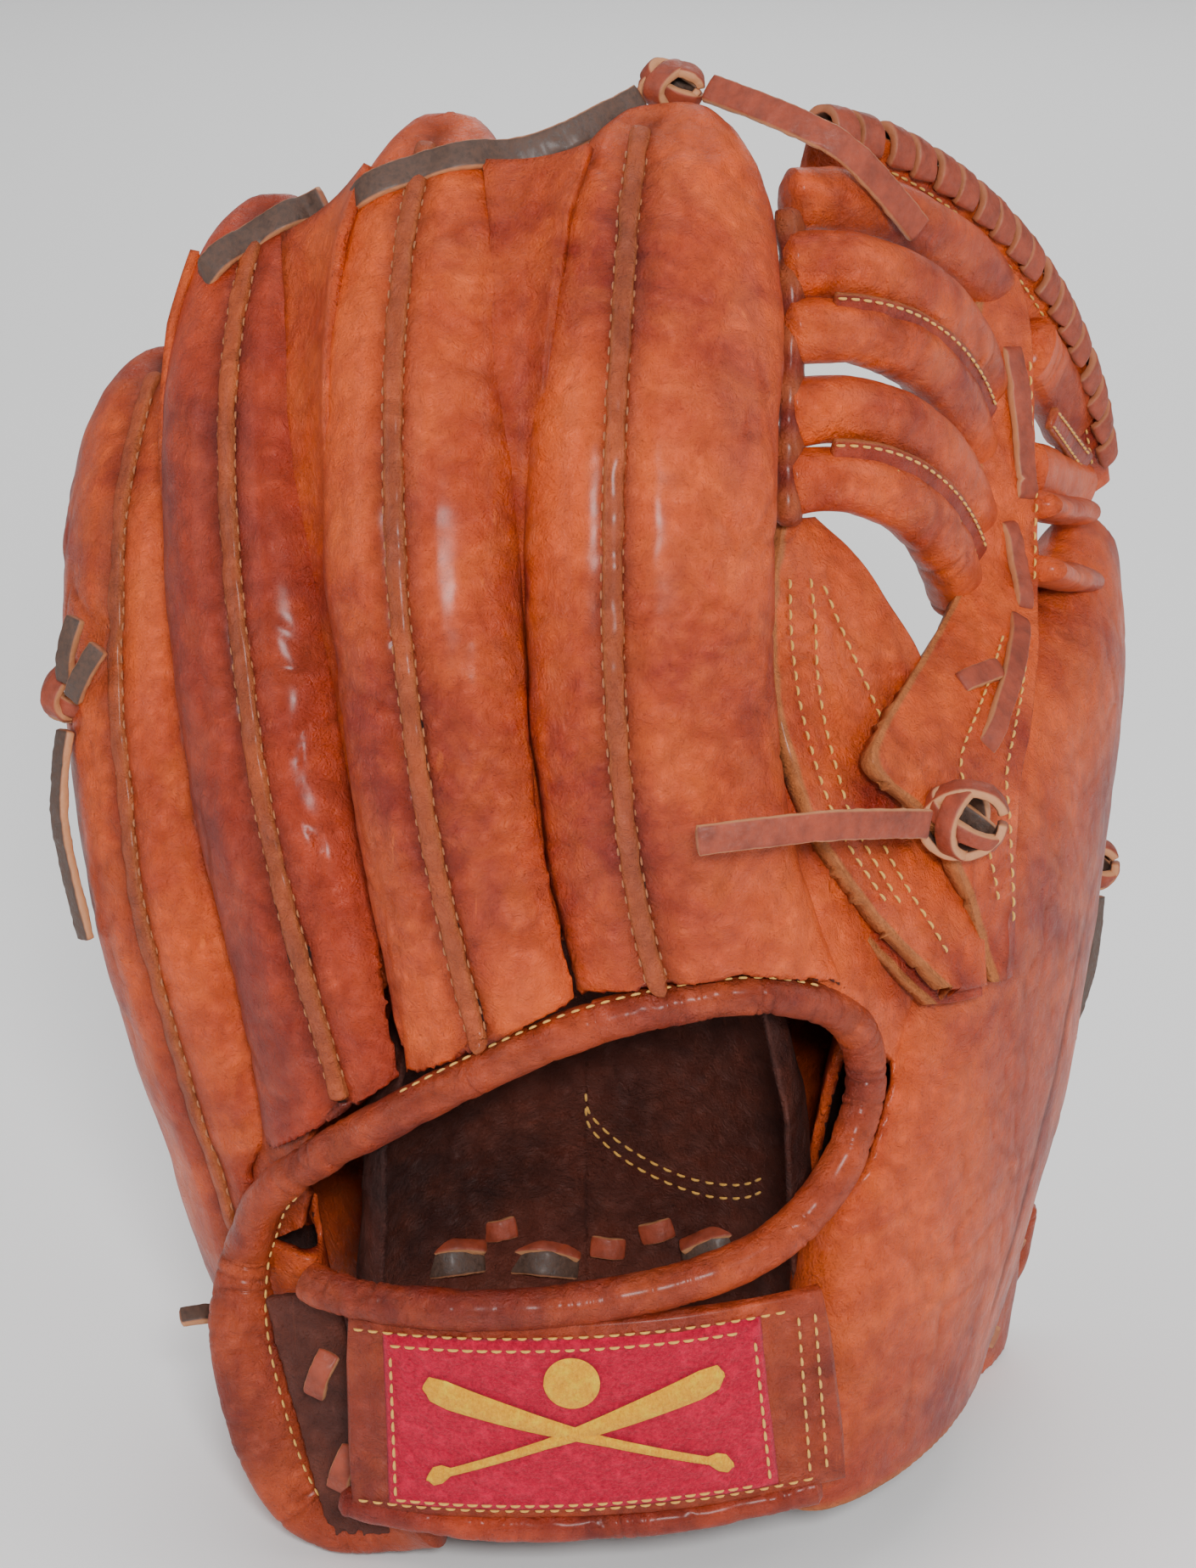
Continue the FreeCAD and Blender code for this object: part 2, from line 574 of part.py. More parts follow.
solid_loft("pinky_heel_flap", "pinky_flap", geometry=slab_geometry, tools=[heel_edge_room])

for label, (first, last) in BINDING_SHARES.items():
    binding(label, with_gaps(ROUTES["back_opening"][first:last + 1]), dim("binding_radius"))
binding("pinky_heel_binding", ROUTES["pinky_heel_edge"], dim("binding_radius"))
binding("thumb_heel_binding", ROUTES["thumb_heel_edge"], dim("small_binding_radius"))
binding("strap_lower_binding", ROUTES["strap_lower_edge"], dim("small_binding_radius"))

solid_loft("wrist_strap", "strap", geometry=slab_geometry, tools=[strap_room, strap_lower_room])
solid_loft("strap_lining", "strap", geometry=slab_geometry, sizes=("strap_width", "lining_thickness"),
           offset=("-(Dims.strap_thick + Dims.lining_thickness) / 2 - Dims.fit_gap",
                   -(dim("strap_thick") + dim("lining_thickness")) / 2 - dim("fit_gap")),
           profile=((0.02, 0.86, 1), (0.33, 0.86, 1), (0.67, 0.86, 1), (0.98, 0.86, 1)))
solid_loft("label_patch", "strap", geometry=slab_geometry, sizes=("patch_height", "patch_thickness"),
           offset=("(Dims.strap_thick + Dims.patch_thickness) / 2 + 0.1",
                   (dim("strap_thick") + dim("patch_thickness")) / 2 + 0.1),
           profile=((0.1, 1, 1), (0.36, 1, 1), (0.64, 1, 1), (0.9, 1, 1)))

room["rim"] = room_for("web_rim", EVEN_PROFILE, slab_geometry, BAR_ACROSS)
room["post"] = room_for("web_post", POST_PROFILE, slab_geometry)
for bar in ("upper_bar_top", "upper_bar_low", "lower_bar_top", "lower_bar_low"):
    solid_loft(f"web_{bar}", bar, across=BAR_ACROSS, tools=[room["post"]])
for bar in ("thumb_bar_upper", "thumb_bar_lower"):
    solid_loft(f"web_{bar}", bar, across=BAR_ACROSS, tools=[room["rim"], room["post"], room["thumb"]])
solid_loft("web_top_bar", "web_top_bar", across=BAR_ACROSS, tools=[room["rim"], room["post"]])
solid_loft("web_post", "web_post", POST_PROFILE, slab_geometry, tools=[room["rim"], room["thumb"]])
solid_loft("web_base", "web_base", BASE_PROFILE, slab_geometry, tools=[room["thumb"], room["post"]])
solid_loft("web_rim", "web_rim", geometry=slab_geometry, across=BAR_ACROSS)
solid_loft("index_edge_strip", "index_edge", geometry=slab_geometry)
solid_loft("tip_lace", "tip_lace", geometry=slab_geometry, tools=[room["middle"], room["index"]])
solid_loft("ring_tip_lace", "ring_tip_lace", geometry=slab_geometry, tools=[room["ring"], room["pinky"]])

shape_part("heel_lace", flat_pieces(HEEL_LACE_PLACES))
shape_part("post_lace", flat_pieces(POST_LACE_PLACES), room["post"])
knot("web_knot", (69, -30, 155), (15, 9, 17))
knot("tip_knot", (14, 22, 284), (13, 9, 9))
knot("pinky_knot", (-104, 14, 165), (8, 15, 12), room["pinky"])
knot("thumb_knot", (107, 76, 103), (9, 11, 12))
lace("web_tail", (0, -1, 0.2))
lace("tip_tail", (0, -1, 0.6))
lace("pinky_tail", (-1, -0.6, 0))
lace("thumb_tail", (1, -0.6, 0))

# ---------------------------------------------------------------- checks and export

doc.recompute()
os.makedirs("parts", exist_ok=True)
for item in doc.Objects:
    bad = [s for s in item.State if s in ("Invalid", "Error")]
    if bad:
        raise SystemExit(f"{item.Label} is {bad}")
for item in subparts:
    shape = item.Shape
    if shape.isNull() or not shape.isValid() or not shape.Solids:
        raise SystemExit(f"{item.Label} has no valid solid")
    Part.makeCompound(shape.Solids).exportStep(os.path.join("parts", item.Label + ".step"))
    box = shape.BoundBox
    print(f"{item.Label:22s} {len(shape.Solids)} solid(s) {shape.Volume / 1000:8.2f} cm3",
          f"x {box.XMin:.0f}..{box.XMax:.0f}  y {box.YMin:.0f}..{box.YMax:.0f}  z {box.ZMin:.0f}..{box.ZMax:.0f}")
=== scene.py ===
"""Looks of a left-hand fielder's glove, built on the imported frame.

Every leather piece is a grid of points. Most follow the same spines as the model: cubic Bezier curves whose
control points, width and thickness are in millimetres. The grids are then given the relief of sewn leather.
"""

import math

import bpy
import numpy as np
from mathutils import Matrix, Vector
from mathutils.bvhtree import BVHTree


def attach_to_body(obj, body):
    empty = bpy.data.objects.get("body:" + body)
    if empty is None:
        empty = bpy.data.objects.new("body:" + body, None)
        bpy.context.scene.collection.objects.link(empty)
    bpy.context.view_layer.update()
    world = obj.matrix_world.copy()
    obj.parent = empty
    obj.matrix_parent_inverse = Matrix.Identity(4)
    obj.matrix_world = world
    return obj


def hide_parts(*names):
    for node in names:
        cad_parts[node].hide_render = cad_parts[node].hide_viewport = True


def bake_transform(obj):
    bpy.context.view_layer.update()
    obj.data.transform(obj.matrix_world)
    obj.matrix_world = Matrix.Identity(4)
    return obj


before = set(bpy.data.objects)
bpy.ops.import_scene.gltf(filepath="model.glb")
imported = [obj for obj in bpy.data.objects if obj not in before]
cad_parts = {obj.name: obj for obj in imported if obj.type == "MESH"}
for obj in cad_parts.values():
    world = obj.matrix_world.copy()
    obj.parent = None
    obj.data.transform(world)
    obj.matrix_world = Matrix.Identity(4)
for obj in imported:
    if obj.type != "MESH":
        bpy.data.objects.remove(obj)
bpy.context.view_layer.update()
MM = 0.001

# ---------------------------------------------------------------- camera, light and floor

LOOK_AT = (0.0, 0.015, 0.145)
CAMERA_DISTANCE = 0.85
CAMERA_ELEVATION = math.radians(21)
LENS_MM = 97.75
WORLD_STRENGTH = 0.34
FLOOR_HALF = 6.0
FLOOR_GREY = 0.93
# Each lamp's name, place and size in metres, and power in watts.
LIGHTS = (("flash", (0.10, -1.15, 0.75), (0.20, 0.15), 15), ("softbox_left", (-1.3, -0.7, 0.9), (1.0, 1.0), 8),
          ("softbox_right", (1.4, -0.3, 0.8), (0.9, 1.0), 8), ("top", (0.0, 0.3, 1.7), (1.4, 1.4), 9),
          ("rear", (0.2, 1.6, 0.9), (1.2, 1.0), 9))


def linked(name, data):
    """A new object in the scene."""
    obj = bpy.data.objects.new(name, data)
    bpy.context.collection.objects.link(obj)
    return obj


def aim(obj, target):
    obj.rotation_euler = (Vector(target) - obj.location).to_track_quat("-Z", "Y").to_euler()


def add_camera():
    camera = linked("camera", bpy.data.cameras.new("camera"))
    back = Vector((0, -math.cos(CAMERA_ELEVATION), math.sin(CAMERA_ELEVATION)))
    camera.location = Vector(LOOK_AT) + back * CAMERA_DISTANCE
    camera.data.lens = LENS_MM
    camera.data.clip_start = 0.05
    aim(camera, LOOK_AT)
    bpy.context.scene.camera = camera


def add_light(name, place, size, energy):
    light = bpy.data.lights.new(name, "AREA")
    light.shape = "RECTANGLE"
    light.size, light.size_y = size
    light.energy = energy
    obj = linked(name, light)
    obj.location = place
    aim(obj, LOOK_AT)


def add_stage():
    world = bpy.data.worlds.new("world")
    bpy.context.scene.world = world
    world.use_nodes = True
    world.node_tree.nodes["Background"].inputs["Color"].default_value = (1, 1, 1, 1)
    world.node_tree.nodes["Background"].inputs["Strength"].default_value = WORLD_STRENGTH
    mesh = bpy.data.meshes.new("floor")
    corners = [(x * FLOOR_HALF, y * FLOOR_HALF, 0) for x, y in ((-1, -1), (1, -1), (1, 1), (-1, 1))]
    mesh.from_pydata(corners, [], [(0, 1, 2, 3)])
    floor = linked("floor", mesh)
    material = bpy.data.materials.new("floor")
    material.use_nodes = True
    shader = material.node_tree.nodes["Principled BSDF"]
    shader.inputs["Base Color"].default_value = (FLOOR_GREY, FLOOR_GREY, FLOOR_GREY, 1)
    shader.inputs["Roughness"].default_value = 0.6
    mesh.materials.append(material)
    for light in LIGHTS:
        add_light(*light)


add_camera()
add_stage()

# ---------------------------------------------------------------- materials


COAT_ROUGHNESS = 0.22


class Nodes:
    """A small helper for building a material's node tree."""

    def __init__(self, name):
        self.material = bpy.data.materials.new(name)
        self.material.use_nodes = True
        self.tree = self.material.node_tree
        self.shader = self.tree.nodes["Principled BSDF"]
        self.place = self.add("ShaderNodeTexCoord").outputs["Object"]

    def add(self, kind, inputs=(), **values):
        """A new node; inputs are values or links for its sockets, by name, and the rest are its settings."""
        node = self.tree.nodes.new(kind)
        for key, value in values.items():
            setattr(node, key, value)
        for key, value in dict(inputs).items():
            self.fill(node.inputs[key], value)
        return node

    def fill(self, socket, value):
        if isinstance(value, bpy.types.NodeSocket):
            self.tree.links.new(value, socket)
        else:
            socket.default_value = value

    def stretched(self, scale):
        return self.add("ShaderNodeMapping", {"Vector": self.place, "Scale": scale}).outputs["Vector"]

    def noise(self, scale, detail=3.0, roughness=0.55, vector=None, distortion=0.0):
        return self.add("ShaderNodeTexNoise", {"Vector": vector or self.place, "Scale": scale, "Detail": detail,
                                               "Roughness": roughness, "Distortion": distortion}).outputs["Fac"]

    def cell_edges(self, scale):
        return self.add("ShaderNodeTexVoronoi", {"Vector": self.place, "Scale": scale},
                        feature="DISTANCE_TO_EDGE").outputs["Distance"]

    def math(self, kind, a, b):
        return self.add("ShaderNodeMath", {0: a, 1: b}, operation=kind).outputs[0]

    def ramp(self, value, low, high, to_low=0.0, to_high=1.0):
        return self.add("ShaderNodeMapRange", {"Value": value, "From Min": low, "From Max": high, "To Min": to_low,
                                               "To Max": to_high}, clamp=True).outputs["Result"]

    def mix(self, amount, a, b):
        a, b = [(*value, 1) if isinstance(value, tuple) else value for value in (a, b)]
        return self.add("ShaderNodeMix", {0: amount, 6: a, 7: b}, data_type="RGBA").outputs[2]

    def attribute(self, name):
        return self.add("ShaderNodeAttribute", attribute_name=name).outputs["Fac"]

    def bump(self, *layers):
        """layers are (height, distance in metres, strength)."""
        normal = None
        for height, distance, strength in layers:
            inputs = {"Distance": distance, "Strength": strength, "Height": height}
            if normal:
                inputs["Normal"] = normal
            normal = self.add("ShaderNodeBump", inputs).outputs["Normal"]
        self.fill(self.shader.inputs["Normal"], normal)

    def finish(self, colour, roughness, coat=0.0, sheen=0.0, specular=0.5):
        values = {"Base Color": colour, "Roughness": roughness, "Coat Weight": coat,
                  "Coat Roughness": COAT_ROUGHNESS, "Sheen Weight": sheen, "Specular IOR Level": specular}
        for key, value in values.items():
            self.fill(self.shader.inputs[key], value)
        return self.material


def leather(name, base, deep, bright, gloss=0.40, coat=0.12):
    """Oiled full-grain leather: mottled colour, fine grain, creases, scuffs, and painted shade in seams and
    creases.

    The point attributes are tone (0 bright to 1 deep), groove (painted shade, 1 in a seam or crease) and worn (1
    on a raw or rubbed edge).
    """
    n = Nodes(name)
    clouds = n.ramp(n.noise(22, 5, 0.65, distortion=0.5), 0.36, 0.64)
    blotches = n.ramp(n.noise(75, 5, 0.65, distortion=0.6), 0.42, 0.7)
    tone = n.math("ADD", n.attribute("tone"), n.math("MULTIPLY", n.math("SUBTRACT", clouds, 0.45), 0.85))
    colour = n.mix(n.ramp(tone, 0.0, 1.0), base, deep)
    colour = n.mix(n.math("MULTIPLY", blotches, 0.28), colour, bright)
    smudge = n.ramp(n.noise(38, 6, 0.7, vector=n.stretched((1, 1, 0.5))), 0.60, 0.78)
    colour = n.mix(n.math("MULTIPLY", smudge, 0.6), colour, tuple(c * 0.35 for c in deep))
    flecks = n.ramp(n.noise(900, 2, 0.5), 0.62, 0.74)
    colour = n.mix(n.math("MULTIPLY", flecks, 0.2), colour, tuple(c * 0.4 for c in deep))
    scratches = n.ramp(n.noise(55, 3, 0.5, vector=n.stretched((9, 9, 0.9)), distortion=0.4), 0.70, 0.76)
    colour = n.mix(n.math("MULTIPLY", scratches, 0.3), colour, bright)
    # Painted shade: seams and creases are darkened towards a deep brown.
    groove_shade = n.attribute("groove_shade")
    colour = n.mix(n.math("MULTIPLY", groove_shade, 0.72), colour, tuple(c * 0.22 for c in deep))
    worn = n.attribute("worn")
    fuzz = n.noise(1400, 2, 0.6)
    raw = n.mix(fuzz, (0.56, 0.17, 0.045), (0.28, 0.075, 0.020))
    colour = n.mix(worn, colour, raw)
    grain = n.cell_edges(1150)
    pores = n.noise(2600, 2, 0.6)
    creases = n.noise(210, 6, 0.72, distortion=1.2)
    folds = n.noise(60, 4, 0.6, distortion=1.6)
    n.bump((folds, 0.004, 0.22), (creases, 0.0024, 0.85), (grain, 0.0005, 0.5), (pores, 0.0002, 0.3))
    rough = n.math("ADD", n.ramp(n.noise(140, 5, 0.7), 0.3, 0.75, gloss - 0.07, gloss + 0.16),
                   n.math("MULTIPLY", n.math("ADD", worn, n.math("MULTIPLY", groove_shade, 0.5)), 0.4))
    return n.finish(colour, rough, coat, specular=0.34)


def lace_leather(name, grain_side, flesh_side):
    """Rawhide lace: one smooth side, one brushed side, pale cut edges. The attribute flesh picks the side."""
    n = Nodes(name)
    streaks = n.noise(260, 4, 0.6)
    smooth = n.mix(n.ramp(streaks, 0.35, 0.7), grain_side, tuple(c * 0.55 for c in grain_side))
    fibres = n.noise(900, 4, 0.75)
    brushed = n.mix(n.ramp(fibres, 0.35, 0.65), flesh_side, tuple(c * 2.1 for c in flesh_side))
    colour = n.mix(n.attribute("flesh"), smooth, brushed)
    colour = n.mix(n.attribute("worn"), colour, (0.55, 0.25, 0.11))
    n.bump((streaks, 0.0006, 0.4), (fibres, 0.0004, 0.5))
    return n.finish(colour, n.ramp(fibres, 0.3, 0.7, 0.42, 0.8), 0.05)


def thread(name, colour):
    n = Nodes(name)
    twist = n.noise(3000, 2, 0.5)
    n.bump((twist, 0.0002, 0.6))
    return n.finish(n.mix(twist, colour, tuple(c * 0.6 for c in colour)), 0.55, sheen=0.2)


def felt(name, colour, dark):
    """Woven felt with a raised nap."""
    n = Nodes(name)
    nap = n.noise(1500, 4, 0.8)
    tufts = n.noise(420, 3, 0.6)
    tone = n.mix(n.ramp(nap, 0.3, 0.7), dark, colour)
    tone = n.mix(n.ramp(tufts, 0.5, 0.8, 0, 0.45), tone, tuple(min(1, c * 1.9) for c in colour))
    n.bump((tufts, 0.0012, 0.5), (nap, 0.0008, 0.8))
    return n.finish(tone, 0.95, sheen=0.15, specular=0.1)


TAN = leather("tan_leather", (0.66, 0.084, 0.009), (0.25, 0.017, 0.005), (0.90, 0.175, 0.024))
BROWN = leather("brown_leather", (0.47, 0.044, 0.008), (0.20, 0.014, 0.005), (0.64, 0.092, 0.016))
BINDING = leather("binding_leather", (0.42, 0.052, 0.009), (0.18, 0.016, 0.006), (0.60, 0.105, 0.020))
LINING = leather("lining_leather", (0.095, 0.018, 0.009), (0.035, 0.007, 0.004), (0.19, 0.042, 0.020), 0.55, 0.0)
LACE = lace_leather("lace", (0.30, 0.045, 0.016), (0.045, 0.022, 0.014))
YELLOW = thread("yellow_thread", (0.80, 0.40, 0.06))
SEAM_THREAD = thread("seam_thread", (0.42, 0.13, 0.035))
GREY_FELT = felt("padding_felt", (0.42, 0.38, 0.33), (0.24, 0.22, 0.19))
RED_FELT = felt("red_felt", (0.62, 0.0015, 0.040), (0.26, 0.0005, 0.014))
GOLD = felt("gold_embroidery", (0.95, 0.47, 0.012), (0.66, 0.25, 0.006))

# ---------------------------------------------------------------- meshes


def mesh_object(name, points, faces, material, attributes=None):
    mesh = bpy.data.meshes.new(name)
    mesh.from_pydata([tuple(p) for p in points], [], faces)
    for key in ("tone", "groove_shade", "worn", "flesh"):
        values = (attributes or {}).get(key)
        layer = mesh.attributes.new(key, "FLOAT", "POINT")
        if values is not None:
            layer.data.foreach_set("value", np.asarray(values, dtype=np.float32).ravel())
    mesh.polygons.foreach_set("use_smooth", [True] * len(mesh.polygons))
    mesh.materials.append(material)
    mesh.update()
    return linked(name, mesh)


def grid_faces(rows, columns, closed, start=0, flip=False):
    faces = []
    last = columns if closed else columns - 1
    for i in range(rows - 1):
        for j in range(last):
            k = (j + 1) % columns
            face = (start + i * columns + j, start + i * columns + k,
                    start + (i + 1) * columns + k, start + (i + 1) * columns + j)
            faces.append(face[::-1] if flip else face)
    return faces


def unit(v):
    return v / np.maximum(np.linalg.norm(v, axis=-1, keepdims=True), 1e-12)


def grid_normals(grid):
    """Unit normals of a grid of points, as the cross of its column and row directions."""
    return unit(np.cross(np.gradient(grid, axis=1), np.gradient(grid, axis=0)))


def skin(name, grid, material, thickness=0.0, attributes=None, flip=False):
    """A grid as a mesh; with a thickness it is a sheet with an inner side and edges, grown inwards."""
    rows, columns = grid.shape[:2]
    points = grid.reshape(-1, 3)
    faces = grid_faces(rows, columns, False, 0, flip)
    attributes = {k: np.broadcast_to(v, (rows, columns)).ravel() for k, v in (attributes or {}).items()}
    if thickness:
        inner = grid - (-1 if flip else 1) * grid_normals(grid) * thickness
        count = len(points)
        points = np.vstack([points, inner.reshape(-1, 3)])
        faces += grid_faces(rows, columns, False, count, not flip)
        attributes = {k: np.concatenate([v, v]) for k, v in attributes.items()}
        numbers = range(rows * columns)
        for edge, outward in ((numbers[:columns], True), (numbers[-columns:], False),
                              (numbers[::columns], False), (numbers[columns - 1::columns], True)):
            for a, b in zip(edge[:-1], edge[1:]):
                faces.append((a, a + count, b + count, b) if outward != flip else (b, b + count, a + count, a))
    return mesh_object(name, points, faces, material, attributes)


def resample(values, count):
    """A polyline's points, spread evenly along it."""
    values = np.asarray(values, float)
    steps = np.linalg.norm(np.diff(values, axis=0), axis=1)
    along = np.concatenate([[0], np.cumsum(steps)])
    at = np.linspace(0, along[-1], count)
    return np.stack([np.interp(at, along, values[:, k]) for k in range(values.shape[1])], 1)


def smooth_line(points, count):
    """A soft curve near the given corner points, spread evenly."""
    points = np.asarray(points, float)
    for _ in range(4):
        cut = np.empty((2 * len(points), 3))
        cut[0], cut[-1] = points[0], points[-1]
        cut[1:-1:2] = points[:-1] * 0.75 + points[1:] * 0.25
        cut[2:-1:2] = points[:-1] * 0.25 + points[1:] * 0.75
        points = cut
    return resample(points, count)


def smooth_rows(values, passes):
    """Rows of numbers, each blended with its two neighbours; the ends stay."""
    values = values.copy()
    for _ in range(passes):
        values[1:-1] = values[:-2] * 0.25 + values[1:-1] * 0.5 + values[2:] * 0.25
    return values


# ---------------------------------------------------------------- the design's spines, in millimetres

UP = (0, 0, 1)
BAR_ACROSS = ((0.15, 0, 1), (0.5, 0.2, 0.85))


def yaw(degrees):
    return (math.cos(math.radians(degrees)), math.sin(math.radians(degrees)), 0)


# Four Bezier points, width, thickness, and the width direction at both ends.
SPINES = {
    "index": (((34, -48, 96), (-4, -50, 165), (14, -36, 238), (13, 16, 280)), 46, 31, (yaw(6), yaw(4))),
    "middle": (((-10, -49, 88), (-30, -49, 155), (-39, -32, 232), (-28, 26, 276)), 38, 29, (yaw(-10), yaw(-16))),
    "ring": (((-43, -42, 76), (-56, -32, 130), (-76, -6, 215), (-63, 43, 256)), 36, 29, (yaw(-26), yaw(-38))),
    "pinky": (((-64, -12, 42), (-79, -8, 100), (-94, 10, 185), (-86, 58, 221)), 47, 34, (yaw(-56), yaw(-52))),
    "thumb": (((54, -22, -3), (60, -8, 60), (79, 8, 112), (105, 94, 171)), 106, 35, (yaw(62), yaw(66))),
    "palm": (((-1, 4, 18), (-1, 13, 60), (-1, 10, 110), (-4, -22, 166)), 68, 3, (yaw(0), yaw(0))),
    "pinky_panel": (((-54, 24, 16), (-55, 30, 60), (-56, 26, 110), (-60, 4, 158)), 42, 3, (yaw(-50), yaw(-46))),
    "thumb_panel": (((51, 28, 14), (53, 33, 60), (58, 38, 105), (76, 58, 148)), 44, 3, (yaw(56), yaw(60))),
    "strap": (((-50, -56, 44), (-22, -65, 44), (12, -66, 46), (42, -58.5, 50)), 42, 3.6, (UP, UP)),
    "web_top_bar": (((41, 14, 264), (55, 22, 262), (70, 40, 250), (78, 60, 236)), 12, 10, BAR_ACROSS),
    "upper_bar_top": (((41, 3, 254), (56, 8, 253), (70, 26, 240), (76, 48, 219)), 12.5, 10, BAR_ACROSS),
    "upper_bar_low": (((41, -3, 243), (56, 3, 242), (68, 20, 229), (74, 42, 208)), 11.5, 10, BAR_ACROSS),
    "lower_bar_top": (((41, -8, 229), (56, -3, 229), (68, 12, 215), (74, 36, 194)), 12.5, 10, BAR_ACROSS),
    "lower_bar_low": (((40.5, -13, 217), (54, -9, 217), (66, 4, 204), (71, 27, 183)), 11.5, 10, BAR_ACROSS),
    "thumb_bar_upper": (((89, 68, 220), (92, 76, 214), (96, 86, 206), (100, 94, 198)), 13, 9, BAR_ACROSS),
    "thumb_bar_lower": (((88, 60, 196), (92, 70, 192), (96, 82, 187), (101, 93, 182)), 13, 9, BAR_ACROSS),
    "web_rim": (((41, 30, 270), (66, 46, 263), (98, 81, 229), (105, 101, 180)), 12, 4, BAR_ACROSS),
    "index_edge": (((37.3, 8, 262), (38.3, -3, 245), (36.9, -12, 225), (36.9, -17, 210)), 8, 1.4,
                   (yaw(80), yaw(80))),
}
OPENING = ((-69, -33, 71), (-62, -39, 83), (-50, -45, 94), (-35, -50, 105), (-18, -53.5, 116), (0, -55, 125),
           (26, -53, 130), (41, -48, 126), (50, -41, 117), (51.5, -40, 104), (47, -46, 90), (37, -54, 80),
           (22, -60, 74), (0, -63, 70), (-20, -63, 68), (-41, -60, 68), (-56, -54, 69))
STRAP_LOWER_EDGE = ((-49, -56, 23), (-24, -62, 20.5), (14, -63, 22.5), (42, -58, 27))
PINKY_HEEL_EDGE = ((-69, -30, 66), (-70.5, -33, 52), (-67, -35, 34), (-62, -36, 16), (-54, -37, 6), (-42, -40, 9))
THUMB_HEEL_EDGE = ((60, 29, 4), (71, 42, 4.5), (82, 54, 5), (91, 58, 14), (93, 57, 30))
# Along a stall: the share of its length, of its width and of its thickness.
STALL_PROFILE = ((0, 1.04, 0.46), (0.18, 1.04, 0.66), (0.36, 1, 0.92), (0.52, 1, 1), (0.7, 1, 0.98),
                 (0.86, 0.92, 0.84), (0.95, 0.7, 0.6), (1, 0.36, 0.3))
# How far each welt leans to a side of its finger's middle, in radians.
WELT_LEAN = {"index": -0.36, "middle": -0.12, "ring": 0.2, "pinky": 0.3}


class Spine:
    """A cubic Bezier with its width and thickness directions; t is a number or an array."""

    def __init__(self, name):
        points, width, thick, across = SPINES[name]
        self.points = np.array(points, float) * MM
        self.width, self.thick = width * MM, thick * MM
        self.ends = np.array(across, float)

    def point(self, t):
        t = np.atleast_1d(t)[:, None]
        u = 1 - t
        p = self.points
        return u**3 * p[0] + 3 * u * u * t * p[1] + 3 * u * t * t * p[2] + t**3 * p[3]

    def frames(self, t):
        t = np.atleast_1d(t)
        along = unit(self.point(t + 0.01) - self.point(t - 0.01))
        wanted = self.ends[0] * (1 - t[:, None]) + self.ends[1] * t[:, None]
        across = unit(wanted - along * np.sum(wanted * along, 1, keepdims=True))
        return along, across, np.cross(along, across)


def stall_half(spine, t):
    """A stall's half width and half thickness."""
    at, wide, thick = np.array(STALL_PROFILE).T
    return spine.width * np.interp(t, at, wide) / 2, spine.thick * np.interp(t, at, thick) / 2


# ---------------------------------------------------------------- relief


def lattice_noise(points, seed=0):
    """Smooth noise from -1 to 1 on a unit lattice."""
    cell = np.floor(points).astype(np.int64)
    f = points - cell
    f = f * f * (3 - 2 * f)
    total = 0
    for dx in (0, 1):
        for dy in (0, 1):
            for dz in (0, 1):
                x, y, z = cell[:, 0] + dx, cell[:, 1] + dy, cell[:, 2] + dz
                h = (x * 73856093) ^ (y * 19349663) ^ (z * 83492791) ^ (seed * 2654435761)
                h = ((h ^ (h >> 13)) * 1274126177) & 0xFFFFFFFF
                h = ((h ^ (h >> 16)) * 2246822519) & 0xFFFFFFFF
                weight = ((f[:, 0] if dx else 1 - f[:, 0]) * (f[:, 1] if dy else 1 - f[:, 1])
                          * (f[:, 2] if dz else 1 - f[:, 2]))
                total = total + weight * (h / 2147483648.0 - 1)
    return total


def clouds(points, size, seed=0, octaves=2):
    """Layered noise with features of the given size in millimetres."""
    flat = points.reshape(-1, 3) / (size * MM)
    total, gain = 0, 1.0
    for k in range(octaves):
        total = total + gain * lattice_noise(flat * 2**k + 11.3 * k, seed + k)
        gain *= 0.5
    return total.reshape(points.shape[:-1])


def ridges(points, size, seed=0, sharpness=6):
    """Thin crease lines, 0 to 1, that wander and come and go."""
    bend = np.stack([clouds(points, size * 2.2, seed + 20 + k) for k in range(3)], -1) * size * 0.6 * MM
    lines = (1 - np.abs(clouds(points + bend, size, seed, 1))) ** sharpness
    return lines * np.clip(clouds(points, size * 4, seed + 9, 1) * 1.6 + 0.2, 0, 1)


def distance_to(points, line):
    """Distance of every point to a polyline's closely spaced points."""
    flat = points.reshape(-1, 3)
    out = np.empty(len(flat))
    for i in range(0, len(flat), 8000):
        chunk = flat[i:i + 8000]
        out[i:i + 8000] = np.sqrt(((chunk[:, None, :] - line[None]) ** 2).sum(2).min(1))
    return out.reshape(points.shape[:-1])


def bell(distance, reach):
    """1 on the line, falling smoothly to 0 at the reach in millimetres."""
    x = np.clip(1 - distance / (reach * MM), 0, 1)
    return x * x * (3 - 2 * x)


# How far back a ray starts, how far off a dropped point may land, and how far a tip lace may miss, in metres.
RAY_START, DROP_REACH, LACE_REACH = 0.04, 0.03, 0.012


